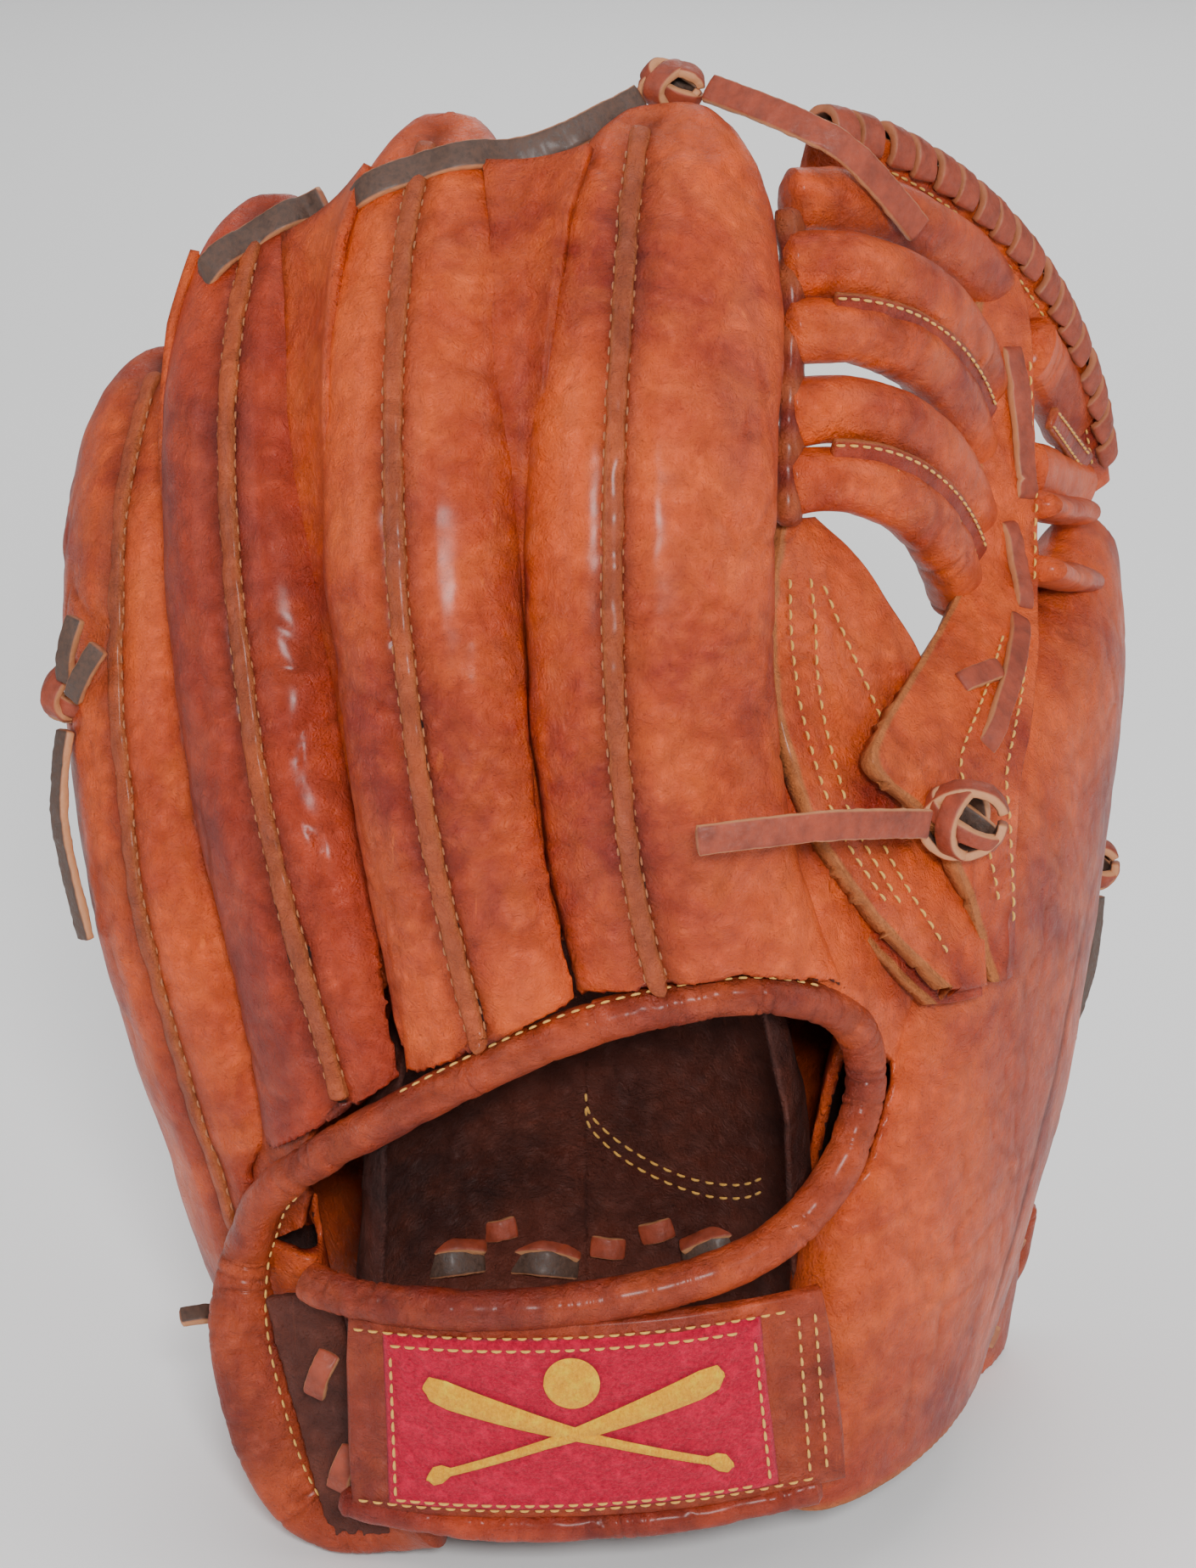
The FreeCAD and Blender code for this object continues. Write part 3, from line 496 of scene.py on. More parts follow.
class Cloth:
    """A finished surface: its object, and a tree for finding places on it."""

    def __init__(self, obj):
        self.obj = obj
        mesh = obj.data
        points = [v.co.copy() for v in mesh.vertices]
        self.tree = BVHTree.FromPolygons(points, [tuple(p.vertices) for p in mesh.polygons])

    def hit(self, origin, direction):
        place, normal, _, _ = self.tree.ray_cast(Vector(origin), Vector(direction))
        return (np.array(place), np.array(normal)) if place else (None, None)

    def nearest(self, point):
        place, normal, _, _ = self.tree.find_nearest(Vector(point))
        return np.array(place), np.array(normal)

    def lay(self, line, directions):
        """Drops a line onto the surface along the given directions; points that miss keep the nearest place."""
        places, normals = [], []
        for point, direction in zip(line, np.broadcast_to(directions, line.shape)):
            place, normal = self.hit(point - direction * RAY_START, direction)
            if place is None or np.linalg.norm(place - point) > DROP_REACH:
                place, normal = self.nearest(point)
            if normal.dot(direction) > 0:
                normal = -normal
            places.append(place)
            normals.append(normal)
        return np.array(places), unit(np.array(normals))


def attach(obj, body, blend=None, replaces=()):
    """Rides a piece on its body; given a blend, (other body, start, end) in millimetres, whose values are not
    used, its transform is only baked into its points and it rides on no body.
    """
    if blend:
        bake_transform(obj)
    else:
        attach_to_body(obj, body)
    if replaces:
        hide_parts(*replaces)


FRONT = np.array([0.0, -0.93, 0.36])
FRONT_IN = -FRONT
# The sizes in millimetres of the dents, ripples and creases of clothed leather, of its colour patches, and how
# far from its height a finger's pulled wrinkles reach.
DENT, RIPPLE, CREASE, PATCH, WRINKLE_REACH = 26, 7, 9, 38, 34


def clothe(label, nodes, body, materials, voxel=1.1, smooth=4, depth=(0.4, 0.13, 0.3), seams=(), seed=0,
           inside=None, worn_below=None, blend=None, wrinkled_at=None):
    """A leather skin over CAD nodes: the same shape with soft edges, dents, wrinkles and seam grooves.

    depth is how deep the dents, ripples and creases are, in millimetres. A seam is (line, reach, depth). inside
    is a line down the middle of a hollow piece; what faces it takes the second material and isn't dented. The
    leather is raw below worn_below and pulled into long wrinkles round wrinkled_at, both heights in millimetres.
    """
    points, faces = [], []
    for node in nodes:
        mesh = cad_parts[node].data
        start = len(points)
        points += [tuple(v.co) for v in mesh.vertices]
        faces += [tuple(start + i for i in p.vertices) for p in mesh.polygons]
    rough = bpy.data.meshes.new(label + "_base")
    rough.from_pydata(points, [], faces)
    base = linked(label + "_base", rough)
    remesh = base.modifiers.new("remesh", "REMESH")
    remesh.mode = "VOXEL"
    remesh.voxel_size = voxel * MM
    soften = base.modifiers.new("soften", "SMOOTH")
    soften.factor, soften.iterations = 0.5, smooth
    bpy.context.view_layer.update()
    mesh = bpy.data.meshes.new_from_object(base.evaluated_get(bpy.context.evaluated_depsgraph_get()))
    bpy.data.objects.remove(base)
    mesh.name = label
    obj = linked(label, mesh)

    count = len(mesh.vertices)
    place = np.empty(count * 3)
    mesh.vertices.foreach_get("co", place)
    place = place.reshape(-1, 3)
    normal = np.empty(count * 3)
    mesh.vertices.foreach_get("normal", normal)
    normal = normal.reshape(-1, 3)
    outer = np.ones(count)
    if inside is not None:
        nearest = np.array([np.linalg.norm(inside - p, axis=1).argmin() for p in place])
        outer = (np.sum(normal * (place - inside[nearest]), axis=1) > 0).astype(float)
    dents, ripples, creases = depth
    crease = ridges(place, CREASE, seed + 3)
    lift = (clouds(place, DENT, seed) * dents + clouds(place, RIPPLE, seed + 1) * ripples - crease * creases) * MM
    # Painted shade: darker leather in the creases, and below in the pulled wrinkles and seam valleys.
    groove_shade = crease * 0.35
    if wrinkled_at is not None:
        band = np.exp(-((place[:, 2] / MM - wrinkled_at) / WRINKLE_REACH) ** 2)
        pulled = ridges(place * (1.7, 1.7, 0.4), 8, seed + 7, 5) * band
        lift -= pulled * 0.9 * MM
        groove_shade = np.maximum(groove_shade, pulled * 0.4)
    for line, reach, deep in seams:
        near = bell(distance_to(place, line), reach)
        lift -= near * deep * MM
        if deep > 0:
            groove_shade = np.maximum(groove_shade, near ** 1.5)
    place = place + normal * (lift * outer)[:, None]
    mesh.vertices.foreach_set("co", place.ravel())
    # Painted shade: the tone gets deeper where the surface faces away from the front and the flash.
    turned_away_shade = np.clip(0.55 - normal @ FRONT, 0, 1)
    worn = np.zeros(count)
    if worn_below is not None:
        worn = np.clip((worn_below * MM - place[:, 2]) / (1.5 * MM), 0, 1)
    values = {"tone": 0.32 + 0.45 * clouds(place, PATCH, seed + 5) + 1.1 * turned_away_shade, "groove_shade": groove_shade, "worn": worn,
              "flesh": np.zeros(count)}
    for key, value in values.items():
        mesh.attributes.new(key, "FLOAT", "POINT").data.foreach_set("value", value.astype(np.float32))
    mesh.materials.clear()
    for material in materials:
        mesh.materials.append(material)
    if inside is not None:
        indices = np.zeros(len(mesh.polygons), dtype=np.int32)
        for polygon in mesh.polygons:
            centre = np.array(polygon.center)
            gaps = np.linalg.norm(inside - centre, axis=1)
            outward = centre - inside[gaps.argmin()]
            if np.dot(np.array(polygon.normal), outward) < 0:
                indices[polygon.index] = 1
        mesh.polygons.foreach_set("material_index", indices)
    mesh.polygons.foreach_set("use_smooth", [True] * len(mesh.polygons))
    mesh.update()
    attach(obj, body, blend, nodes)
    return Cloth(obj)


# ---------------------------------------------------------------- swept leather


def section_shape(count, power=2.0):
    """Unit superellipse points."""
    angle = np.linspace(0, 2 * math.pi, count, endpoint=False)
    c, s = np.cos(angle), np.sin(angle)
    return np.stack([np.sign(c) * np.abs(c) ** (2 / power), np.sign(s) * np.abs(s) ** (2 / power)], 1), angle


def closed_ends(points, faces, rows, columns):
    """Rounds off both ends of a tube with a cap whose middle is pushed out."""
    for row, inner in ((0, 1), (rows - 1, rows - 2)):
        ring = points[row * columns:(row + 1) * columns]
        before = points[inner * columns:(inner + 1) * columns]
        centre = ring.mean(0)
        push = centre - before.mean(0)
        size = np.linalg.norm(ring - centre, axis=1).min()
        push = push / max(np.linalg.norm(push), 1e-9) * size * 0.5
        middle_ring = centre + (ring - centre) * 0.6 + push * 0.75
        first = len(points)
        points = np.vstack([points, middle_ring, centre + push])
        for j in range(columns):
            k = (j + 1) % columns
            quad = (row * columns + j, row * columns + k, first + k, first + j)
            tip = (first + j, first + k, first + columns)
            faces.append(quad[::-1] if row == 0 else quad)
            faces.append(tip[::-1] if row == 0 else tip)
    return points, faces


def sweep(label, path, up, half_wide, half_thick, material, body, columns=20, power=2.4, relief=None,
          values=None, replaces=(), blend=None):
    """A closed section swept along a path. up is the thin direction at each point of the path.

    half_wide and half_thick are numbers or arrays in millimetres. relief(s, angle, grid) gives millimetres to
    push out; values(s, angle, grid) or plain values give the point attributes. s is the length along the path
    in millimetres.
    """
    count = len(path)
    along = unit(np.gradient(path, axis=0))
    up = np.broadcast_to(np.asarray(up, float), path.shape)
    up = unit(up - along * np.sum(up * along, 1, keepdims=True))
    side = np.cross(up, along)
    shape, angle = section_shape(columns, power)
    wide = np.broadcast_to(half_wide, (count,))[:, None, None] * MM
    thick = np.broadcast_to(half_thick, (count,))[:, None, None] * MM
    grid = (path[:, None, :] + side[:, None, :] * wide * shape[None, :, :1]
            + up[:, None, :] * thick * shape[None, :, 1:])
    steps = np.linalg.norm(np.diff(path, axis=0), axis=1)
    s = np.concatenate([[0], np.cumsum(steps)])[:, None] / MM * np.ones((1, columns))
    a = np.ones((count, 1)) * angle[None, :]
    if relief is not None:
        out = unit(side[:, None, :] * shape[None, :, :1] / wide + up[:, None, :] * shape[None, :, 1:] / thick)
        grid = grid + out * relief(s, a, grid)[..., None] * MM
    attributes = values(s, a, grid) if callable(values) else values or {}
    points = grid.reshape(-1, 3)
    faces = grid_faces(count, columns, True)
    points, faces = closed_ends(points, faces, count, columns)
    extra = len(points) - count * columns
    flat = {}
    for key, value in attributes.items():
        value = np.broadcast_to(value, (count, columns)).ravel()
        tail = np.concatenate([np.repeat(value[:columns].mean(), extra // 2),
                               np.repeat(value[-columns:].mean(), extra - extra // 2)])
        flat[key] = np.concatenate([value, tail])
    obj = mesh_object(label, points, faces, material, flat)
    attach(obj, body, blend, replaces)
    return obj, grid


def lumps(depth, size, seed):
    """A relief of soft lumps; depth and size are in millimetres."""
    return lambda s, a, grid: depth * clouds(grid, size, seed)


def lace_band(label, path, up, body, seed, flesh=False, nodes=(), half_wide=2.8, pale=0.85):
    """A flat lace along a path; flesh puts its brushed side up, and pale is how raw its cut edges are."""
    def relief(s, a, grid):
        return 0.16 * clouds(grid, 3, seed) + 0.1 * clouds(grid, 1.2, seed + 1)

    def values(s, a, grid):
        edge = np.clip(np.abs(np.cos(a)) * 5 - 3.9, 0, 1)
        back = (np.sin(a) < 0).astype(float)
        side = 1 - back if flesh else back
        return {"flesh": side * (1 - edge), "worn": edge * pale, "tone": 0.5}

    return sweep(label, path, up, half_wide, 1.05, LACE, body, columns=24, power=5, relief=relief, values=values,
                 replaces=nodes)


def short_lace(label, middle, along, up, length, body, seed, flesh=True, nodes=(), bow=1.2, half_wide=2.8):
    """A short run of lace that comes out of one hole and goes into the next."""
    middle, along = np.array(middle, float) * MM, unit(np.array(along, float))
    up = unit(np.array(up, float))
    t = np.linspace(-0.5, 0.5, 24)[:, None]
    path = middle + along * t * length * MM + up * (np.cos(t * math.pi) - 0.6) * bow * MM
    return lace_band(label, path, up, body, seed, flesh, nodes, half_wide)


# ---------------------------------------------------------------- free lace ends

# Each route's points in millimetres, the thin direction, the real length in metres, and the body it hangs from.
LACE_ENDS = {
    "web_tail": (((61, -42, 159), (48, -57, 165), (34, -65, 167), (18, -68, 166)), (0, -1, 0.2), 0.0529,
                 "thumb_side"),
    "tip_tail": (((21, 20, 284), (37, 11, 280), (50, 9, 273), (61, 19, 257)), (0, -1, 0.6), 0.0547, "palm"),
    "pinky_tail": (((-105.2, 10, 158), (-107.2, 6, 147), (-105.2, 3, 132), (-101.7, 0, 118)), (-1, -0.6, 0),
                   0.0419, "pinky_side"),
    "thumb_tail": (((108, 74, 96), (107.5, 71, 84), (103, 67, 70), (97.5, 64, 58)), (1, -0.6, 0), 0.0411,
                   "thumb_side"),
}


def route_line(points):
    """The smooth line of a route, as its NURBS spline gives it."""
    curve = bpy.data.curves.new("route", "CURVE")
    curve.dimensions = "3D"
    curve.resolution_u = 40
    spline = curve.splines.new("NURBS")
    spline.points.add(len(points) - 1)
    for place, point in zip(spline.points, points):
        place.co = (*(v * MM for v in point), 1)
    spline.order_u = 3
    spline.use_endpoint_u = True
    obj = linked("route", curve)
    bpy.context.view_layer.update()
    mesh = bpy.data.meshes.new_from_object(obj)
    line = np.array([v.co for v in mesh.vertices])
    bpy.data.objects.remove(obj)
    return line


for seed, (name, (points, thin, length, body)) in enumerate(LACE_ENDS.items()):
    line = route_line(points)
    up = np.broadcast_to(np.array(thin, float), line.shape)
    piece, _ = lace_band(f"{name}_lace", line, up, body, 20 + seed, flesh=name in ("pinky_tail", "thumb_tail"),
                         nodes=[name])


# ---------------------------------------------------------------- stitches


class Stitching:
    """All the stitches of one thread on one body, as one piece."""

    # Along a stitch: the share of its length, of its radius, and how many radii it rises off the leather.
    RINGS = ((0.0, 0.25, -0.5), (0.16, 0.85, 0.25), (0.5, 1.0, 0.62), (0.84, 0.85, 0.25), (1.0, 0.25, -0.5))

    def __init__(self, label, body, material, slot="label_felt"):
        self.label, self.body, self.material, self.slot = label, body, material, slot
        self.points, self.faces = [], []

    def stitch(self, a, b, normal, radius):
        """One thread bump from a to b, sunk at both ends."""
        along = b - a
        side = np.cross(normal, unit(along))
        start = len(self.points)
        for t, size, rise in self.RINGS:
            centre = a + along * t + normal * radius * rise
            for k in range(6):
                angle = k * math.pi / 3
                self.points.append(centre + (side * math.cos(angle) + normal * math.sin(angle)) * radius * size)
        for i in range(len(self.RINGS) - 1):
            for k in range(6):
                m = (k + 1) % 6
                self.faces.append((start + i * 6 + k, start + i * 6 + m, start + i * 6 + 6 + m,
                                   start + i * 6 + 6 + k))

    def row(self, line, normals, length, gap, radius):
        """A row of stitches along a line that lies on leather; the sizes are in millimetres."""
        steps = np.linalg.norm(np.diff(line, axis=0), axis=1)
        s = np.concatenate([[0], np.cumsum(steps)]) / MM
        pitch = length + gap
        for k in range(int(s[-1] / pitch)):
            wobble = 0.12 * math.sin(k * 12.9898)
            a, b = [np.array([np.interp(v, s, line[:, c]) for c in range(3)])
                    for v in (k * pitch, k * pitch + length + wobble)]
            normal = np.array([np.interp(k * pitch, s, normals[:, c]) for c in range(3)])
            self.stitch(a, b, unit(normal), radius * MM)

    def finish(self):
        obj = mesh_object(self.label, self.points, self.faces, self.material)
        attach(obj, self.body)


def beside(line, normals, offset):
    """A line moved sideways on its surface by an offset in millimetres."""
    along = unit(np.gradient(line, axis=0))
    return line + unit(np.cross(normals, along)) * offset * MM


threads = {body: Stitching(f"stitches_{body}", body, YELLOW)
           for body in ("palm", "pinky_side", "thumb_side", "wrist_strap")}
seam_threads = {body: Stitching(f"seam_stitches_{body}", body, SEAM_THREAD, "binding_leather")
                for body in ("palm", "pinky_side")}

# The length of a stitch, the gap after it and its thread's radius, in millimetres.
SEAM_STITCH, BINDING_STITCH, HEEL_STITCH = (1.7, 1.5, 0.22), (1.8, 1.1, 0.26), (2.0, 1.0, 0.32)
STRAP_STITCH, LABEL_STITCH, LINING_STITCH = (1.9, 1.0, 0.3), (2.0, 0.8, 0.32), (2.0, 1.0, 0.3)
BAR_STITCH, RIM_STITCH = (1.9, 0.9, 0.3), (1.9, 1.0, 0.28)

# ---------------------------------------------------------------- finger stalls and their welts

FINGERS = {"index": ("palm", TAN, 1), "middle": ("palm", TAN, 2), "ring": ("pinky_side", BROWN, 3),
           "pinky": ("pinky_side", TAN, 4)}
# How high the leather of each finger is pulled into long wrinkles, in millimetres.
WRINKLES = {"index": 128, "middle": 146, "ring": 130, "pinky": 120}


def back_line(key, lean, t):
    """A line down a stall's back and the direction into the stall, at a lean to either side of the middle."""
    spine = Spine(key)
    centre = spine.point(t)
    _, across, facing = spine.frames(t)
    wide, thick = stall_half(spine, t)
    line = centre + across * (wide * math.sin(lean))[:, None] - facing * (thick * math.cos(lean))[:, None]
    return line, facing


def make_finger(key):
    body, material, seed = FINGERS[key]
    t = np.linspace(0.1, 0.97, 220)
    line, _ = back_line(key, WELT_LEAN[key], t)
    inside = Spine(key).point(np.linspace(-0.05, 0.88, 60))
    return clothe(f"{key}_finger", [f"{key}_stall"], body, [material, LINING], depth=(0.7, 0.2, 0.6),
                  seams=[(line, 8, 1.7), (line, 3.6, 0.5)], seed=seed * 10, wrinkled_at=WRINKLES[key],
                  inside=inside)


fingers = {key: make_finger(key) for key in FINGERS}


def make_welt(key, first, last):
    body, _, seed = FINGERS[key]
    t = np.linspace(first, last, 260)
    line, facing = back_line(key, WELT_LEAN[key], t)
    path, normals = fingers[key].lay(line, facing)
    path = smooth_rows(path, 6)
    normals = unit(smooth_rows(normals, 12))

    def relief(s, a, grid):
        return 0.18 * clouds(grid, 5, seed) + 0.12 * np.sin(s / 1.55 + 2 * clouds(grid, 9, seed + 1))

    def values(s, a, grid):
        edge = np.clip(np.abs(np.cos(a)) * 1.6 - 0.9, 0, 1)
        return {"tone": 0.55 + 0.4 * clouds(grid, 14, seed), "worn": 0.25 + edge * 0.55}

    sweep(f"{key}_seam_welt", path + normals * 0.5 * MM, normals, 1.85, 1.25, BINDING, body, columns=14,
          power=2.6, relief=relief, values=values, replaces=[f"{key}_welt"])
    for side in (-1, 1):
        edge = beside(path, normals, side * 2.0) + normals * 0.5 * MM
        seam_threads[body].row(edge[6:-6], normals[6:-6], *SEAM_STITCH)


for key, (first, last) in {"index": (0.17, 0.955), "middle": (0.15, 0.95), "ring": (0.15, 0.94),
                           "pinky": (0.12, 0.94)}.items():
    make_welt(key, first, last)

# ---------------------------------------------------------------- gussets between the fingers


GUSSET_OVERLAP = 0.004


def gusset(label, left, right, body, blend=None):
    """The recessed leather that joins two neighbouring fingers, hidden down in the valley between them."""
    t = np.linspace(0.24, 0.93, 70)
    a, b = Spine(left), Spine(right)
    _, across_a, facing = a.frames(t)
    _, across_b, _ = b.frames(t)
    start = a.point(t) + across_a * (stall_half(a, t)[0] - GUSSET_OVERLAP)[:, None]
    end = b.point(t) - across_b * (stall_half(b, t)[0] - GUSSET_OVERLAP)[:, None]
    u = np.linspace(0, 1, 9)[None, :, None]
    forward = np.interp(t, (0.24, 0.5, 0.75, 0.93), (0, 2, 8, 9))[:, None, None] * MM
    grid = start[:, None] * (1 - u) + end[:, None] * u + facing[:, None] * (np.sin(u * math.pi) * 0.002 - forward)
    obj = skin(label, grid, TAN, thickness=2 * MM, attributes={"tone": 0.5 + 0 * grid[..., 0]})
    attach(obj, body, blend)


gusset("gusset_middle_index", "middle", "index", "palm")
gusset("gusset_pinky_ring", "pinky", "ring", "pinky_side")
gusset("gusset_ring_middle", "ring", "middle", "palm", ("pinky_side", (-42, -20, 150), (-52, -20, 150)))

# ---------------------------------------------------------------- thumb shell, heels and palm

CROTCH_BLEND = ("thumb_side", (44, -42, 95), (72, -20, 95))


def thumb_seam():
    spine = Spine("thumb")
    t = np.linspace(0.05, 0.9, 160)
    _, across, facing = spine.frames(t)
    return spine.point(t) - facing * (spine.thick / 2) + across * 0.012


thumb = clothe("thumb_shell", ["thumb_stall"], "palm", [TAN, LINING], voxel=1.2, seed=70,
               seams=[(thumb_seam(), 3, 0.25)], inside=Spine("thumb").point(np.linspace(-0.1, 0.9, 60)),
               worn_below=19.5, blend=CROTCH_BLEND)
pinky_heel = clothe("pinky_heel", ["pinky_heel_pad"], "pinky_side", [BROWN], seed=80)
thumb_heel = clothe("thumb_heel", ["thumb_heel_pad"], "thumb_side", [TAN], seed=90)
palm_heel = clothe("palm_heel", ["palm_heel_pad"], "palm", [BROWN], seed=100)
flap = clothe("pinky_flap", ["pinky_heel_flap"], "pinky_side", [LINING], voxel=0.8, smooth=8,
              depth=(0.3, 0.05, 0.2), seed=110)


def across_rows(rows, count):
    """A grid from rows of corner points in millimetres: a soft curve along each row."""
    return np.array([smooth_line(np.array(row) * MM, count) for row in rows])


def fair(grid, rows):
    """More rows, on a soft curve through each column."""
    return np.stack([smooth_line(grid[:, j], rows) for j in range(grid.shape[1])], 1)


def panel_edges(name, t):
    spine = Spine(name)
    _, across, _ = spine.frames(t)
    return spine.point(t) - across * spine.width / 2, spine.point(t) + across * spine.width / 2


def make_palm():
    """The palm leather: one sheet from the little finger's side to the thumb, cupped like the pocket."""
    t = np.linspace(0, 1, 9)
    pinky_outer, pinky_inner = panel_edges("pinky_panel", t)
    palm_left, palm_right = panel_edges("palm", t)
    thumb_inner, thumb_outer = panel_edges("thumb_panel", t)
    middle = Spine("palm").point(t)
    lift = np.array([0, 1.5, 0]) * MM
    columns = [pinky_outer, (pinky_outer + pinky_inner) / 2 + lift, (pinky_inner + palm_left) / 2 + lift,
               (palm_left + middle) / 2, middle, (palm_right + middle) / 2, (palm_right + thumb_inner) / 2 + lift,
               (thumb_outer + thumb_inner) / 2 + lift, thumb_outer]
    control = np.stack(columns, 1)
    grid = np.stack([smooth_line(row, 161) for row in control])
    grid = fair(grid, 150)
    offset = (clouds(grid, 22, 120) * 0.6 + clouds(grid, 7, 121) * 0.15 - ridges(grid, 10, 122) * 0.5) * MM
    grid = grid - grid_normals(grid) * offset[..., None]
    # Painted shade: darker in the creases.
    attributes = {"tone": 0.4 + 0.5 * clouds(grid, 40, 123), "groove_shade": ridges(grid, 10, 122) * 0.4}
    half = grid.shape[1] // 2
    for label, span, blend, nodes in (
            ("palm_leather_left", slice(0, half + 1), ("pinky_side", (-34, 10, 80), (-48, 18, 80)),
             ["palm_shell", "pinky_palm_panel"]),
            ("palm_leather_right", slice(half, None), ("thumb_side", (33, 10, 80), (50, 24, 80)),
             ["thumb_palm_panel"])):
        part = {key: value[:, span] for key, value in attributes.items()}
        obj = skin(label, grid[:, span], TAN, thickness=-2.6 * MM, attributes=part)
        attach(obj, "palm", blend, nodes)
        sweep(label + "_hem", grid[0, span], (0, 1, 0), 3.4, 2.6, BINDING, "palm", blend=blend,
              relief=lumps(0.3, 6, 124), values={"tone": 0.6})
        sweep(label + "_top_edge", grid[-1, span], (0, 1, 0.3), 1.9, 1.9, BROWN, "palm", blend=blend,
              relief=lumps(0.25, 5, 125), values={"worn": 0.4})
    return grid


palm_grid = make_palm()


def body_at(x):
    return "pinky_side" if x < -42 * MM else "thumb_side" if x > 44 * MM else "palm"


def palm_details():
    """The laces that tie the palm's top edge to the fingers, and the rows of stitches over the heel."""
    for k, j in enumerate(range(6, 158, 9)):
        edge, below = palm_grid[-1, j], palm_grid[-9, j]
        short_lace(f"palm_top_lace_{k}", edge * 1000 + (0, 3.0, -3), edge - below, (0, 1, 0.2), 11,
                   body_at(edge[0]), 130 + k, flesh=False, half_wide=2.3, bow=1.6)
    outward = grid_normals(palm_grid)
    outward = outward * np.sign(outward[..., 1:2])
    for row in (34, 39):
        for first, last in ((4, 36), (44, 116), (124, 157)):
            line, normals = palm_grid[row, first:last], outward[row, first:last]
            line = line + normals * 0.7 * MM
            threads[body_at(line[len(line) // 2, 0])].row(line, normals, *HEEL_STITCH)


def side_wall(label, panel, stall, side, first, last, body, seed):
    """The leather that closes the glove's side, from the palm's outer edge to the stall's outer edge."""
    t = np.linspace(0, 1, 80)
    edge = panel_edges(panel, t)[0 if side < 0 else 1]
    spine = Spine(stall)
    at = first + (last - first) * t
    _, across, facing = spine.frames(at)
    wide, thick = stall_half(spine, at)
    rim = spine.point(at) + across * (side * 0.88 * wide)[:, None] + facing * (0.4 * thick)[:, None]
    u = np.linspace(0, 1, 48)[None, :, None]
    puff = np.sin(u * math.pi) * np.array([side * 4.0, 2.0, 0]) * MM
    grid = edge[:, None] * (1 - u) + rim[:, None] * u + puff
    crease = ridges(grid, 9, seed)
    grid = grid + (clouds(grid, 14, seed + 1) * 0.8 - crease * 0.5)[..., None] * np.array([side, 0.3, 0]) * MM
    # Painted shade: darker in the creases.
    values = {"tone": 0.5 + 0.5 * clouds(grid, 26, seed + 2), "groove_shade": crease * 0.4}
    obj = skin(label, grid, TAN, thickness=2.2 * MM, attributes=values, flip=side > 0)
    attach(obj, body)
    sweep(label + "_seam", edge, (side, 0.5, 0), 2.6, 2.0, BROWN, body, columns=14,
          relief=lumps(0.3, 5, seed), values={"worn": 0.35})


side_wall("pinky_side_wall", "pinky_panel", "pinky", -1, 0.0, 0.62, "pinky_side", 140)
side_wall("thumb_side_wall", "thumb_panel", "thumb", 1, 0.08, 0.86, "thumb_side", 150)

palm_details()

# ---------------------------------------------------------------- rolled bindings


def closed_loop(points, count):
    points = np.array(points, float) * MM
    for _ in range(4):
        following = np.roll(points, -1, 0)
        points = np.stack([points * 0.75 + following * 0.25, points * 0.25 + following * 0.75], 1).reshape(-1, 3)
    return resample(np.vstack([points, points[:1]]), count + 1)[:-1]


def creased(s, a, seed):
    """The small creases that run round a rolled leather edge."""
    wrapped = np.stack([s * MM, np.cos(a) * 3 * MM, np.sin(a) * 3 * MM], -1)
    squeezed = wrapped * np.array([1.0, 0.35, 0.35])
    return (0.28 * clouds(wrapped, 6, seed) - 0.5 * ridges(squeezed, 2.6, seed + 1, 4)
            - 0.25 * ridges(squeezed, 1.4, seed + 2, 4))


def roll(label, path, radius, body, seed, replaces=(), blend=None, front=(0, -1, 0.25), material=BINDING,
         wide=None):
    """A rolled leather edge along a path; front is its thin direction and wide its half width, if not round."""
    def relief(s, a, grid):
        return creased(s, a, seed)

    def values(s, a, grid):
        crease = -creased(s, a, seed)
        # Painted shade: darker in the creases round the roll.
        return {"tone": 0.5 + 0.5 * clouds(grid, 12, seed), "groove_shade": np.clip(crease * 0.8, 0, 0.6)}

    wide = radius if wide is None else wide
    return sweep(label, path, front, wide, radius, material, body, columns=28, power=2.0, relief=relief,
                 values=values, replaces=replaces, blend=blend)


EDGE_RADIUS = 4.1
LOOP = closed_loop(OPENING, 900)
MIDDLE_OF_OPENING = LOOP.mean(0)


def loop_between(start, end):
    """The part of the opening's edge from one route point to another, the way round that the route runs."""
    def index(k):
        return int(np.linalg.norm(LOOP - np.array(OPENING[k]) * MM, axis=1).argmin())
    first, last = index(start), index(end)
    if last <= first:
        last += len(LOOP)
    return LOOP[np.arange(first, last + 1) % len(LOOP)]


def edge_stitches(path, body):
    """A row of stitches just outside the opening's rolled edge."""
    outward = path - MIDDLE_OF_OPENING
    along = unit(np.gradient(path, axis=0))
    outward = unit(outward - along * np.sum(outward * along, 1, keepdims=True))
    front = np.array([0, -1, 0.2])
    line = path + outward * 4.6 * MM * 0.9 + front * 1.6 * MM
    normals = unit(outward * 0.6 + front)
    threads[body].row(line, normals, *BINDING_STITCH)


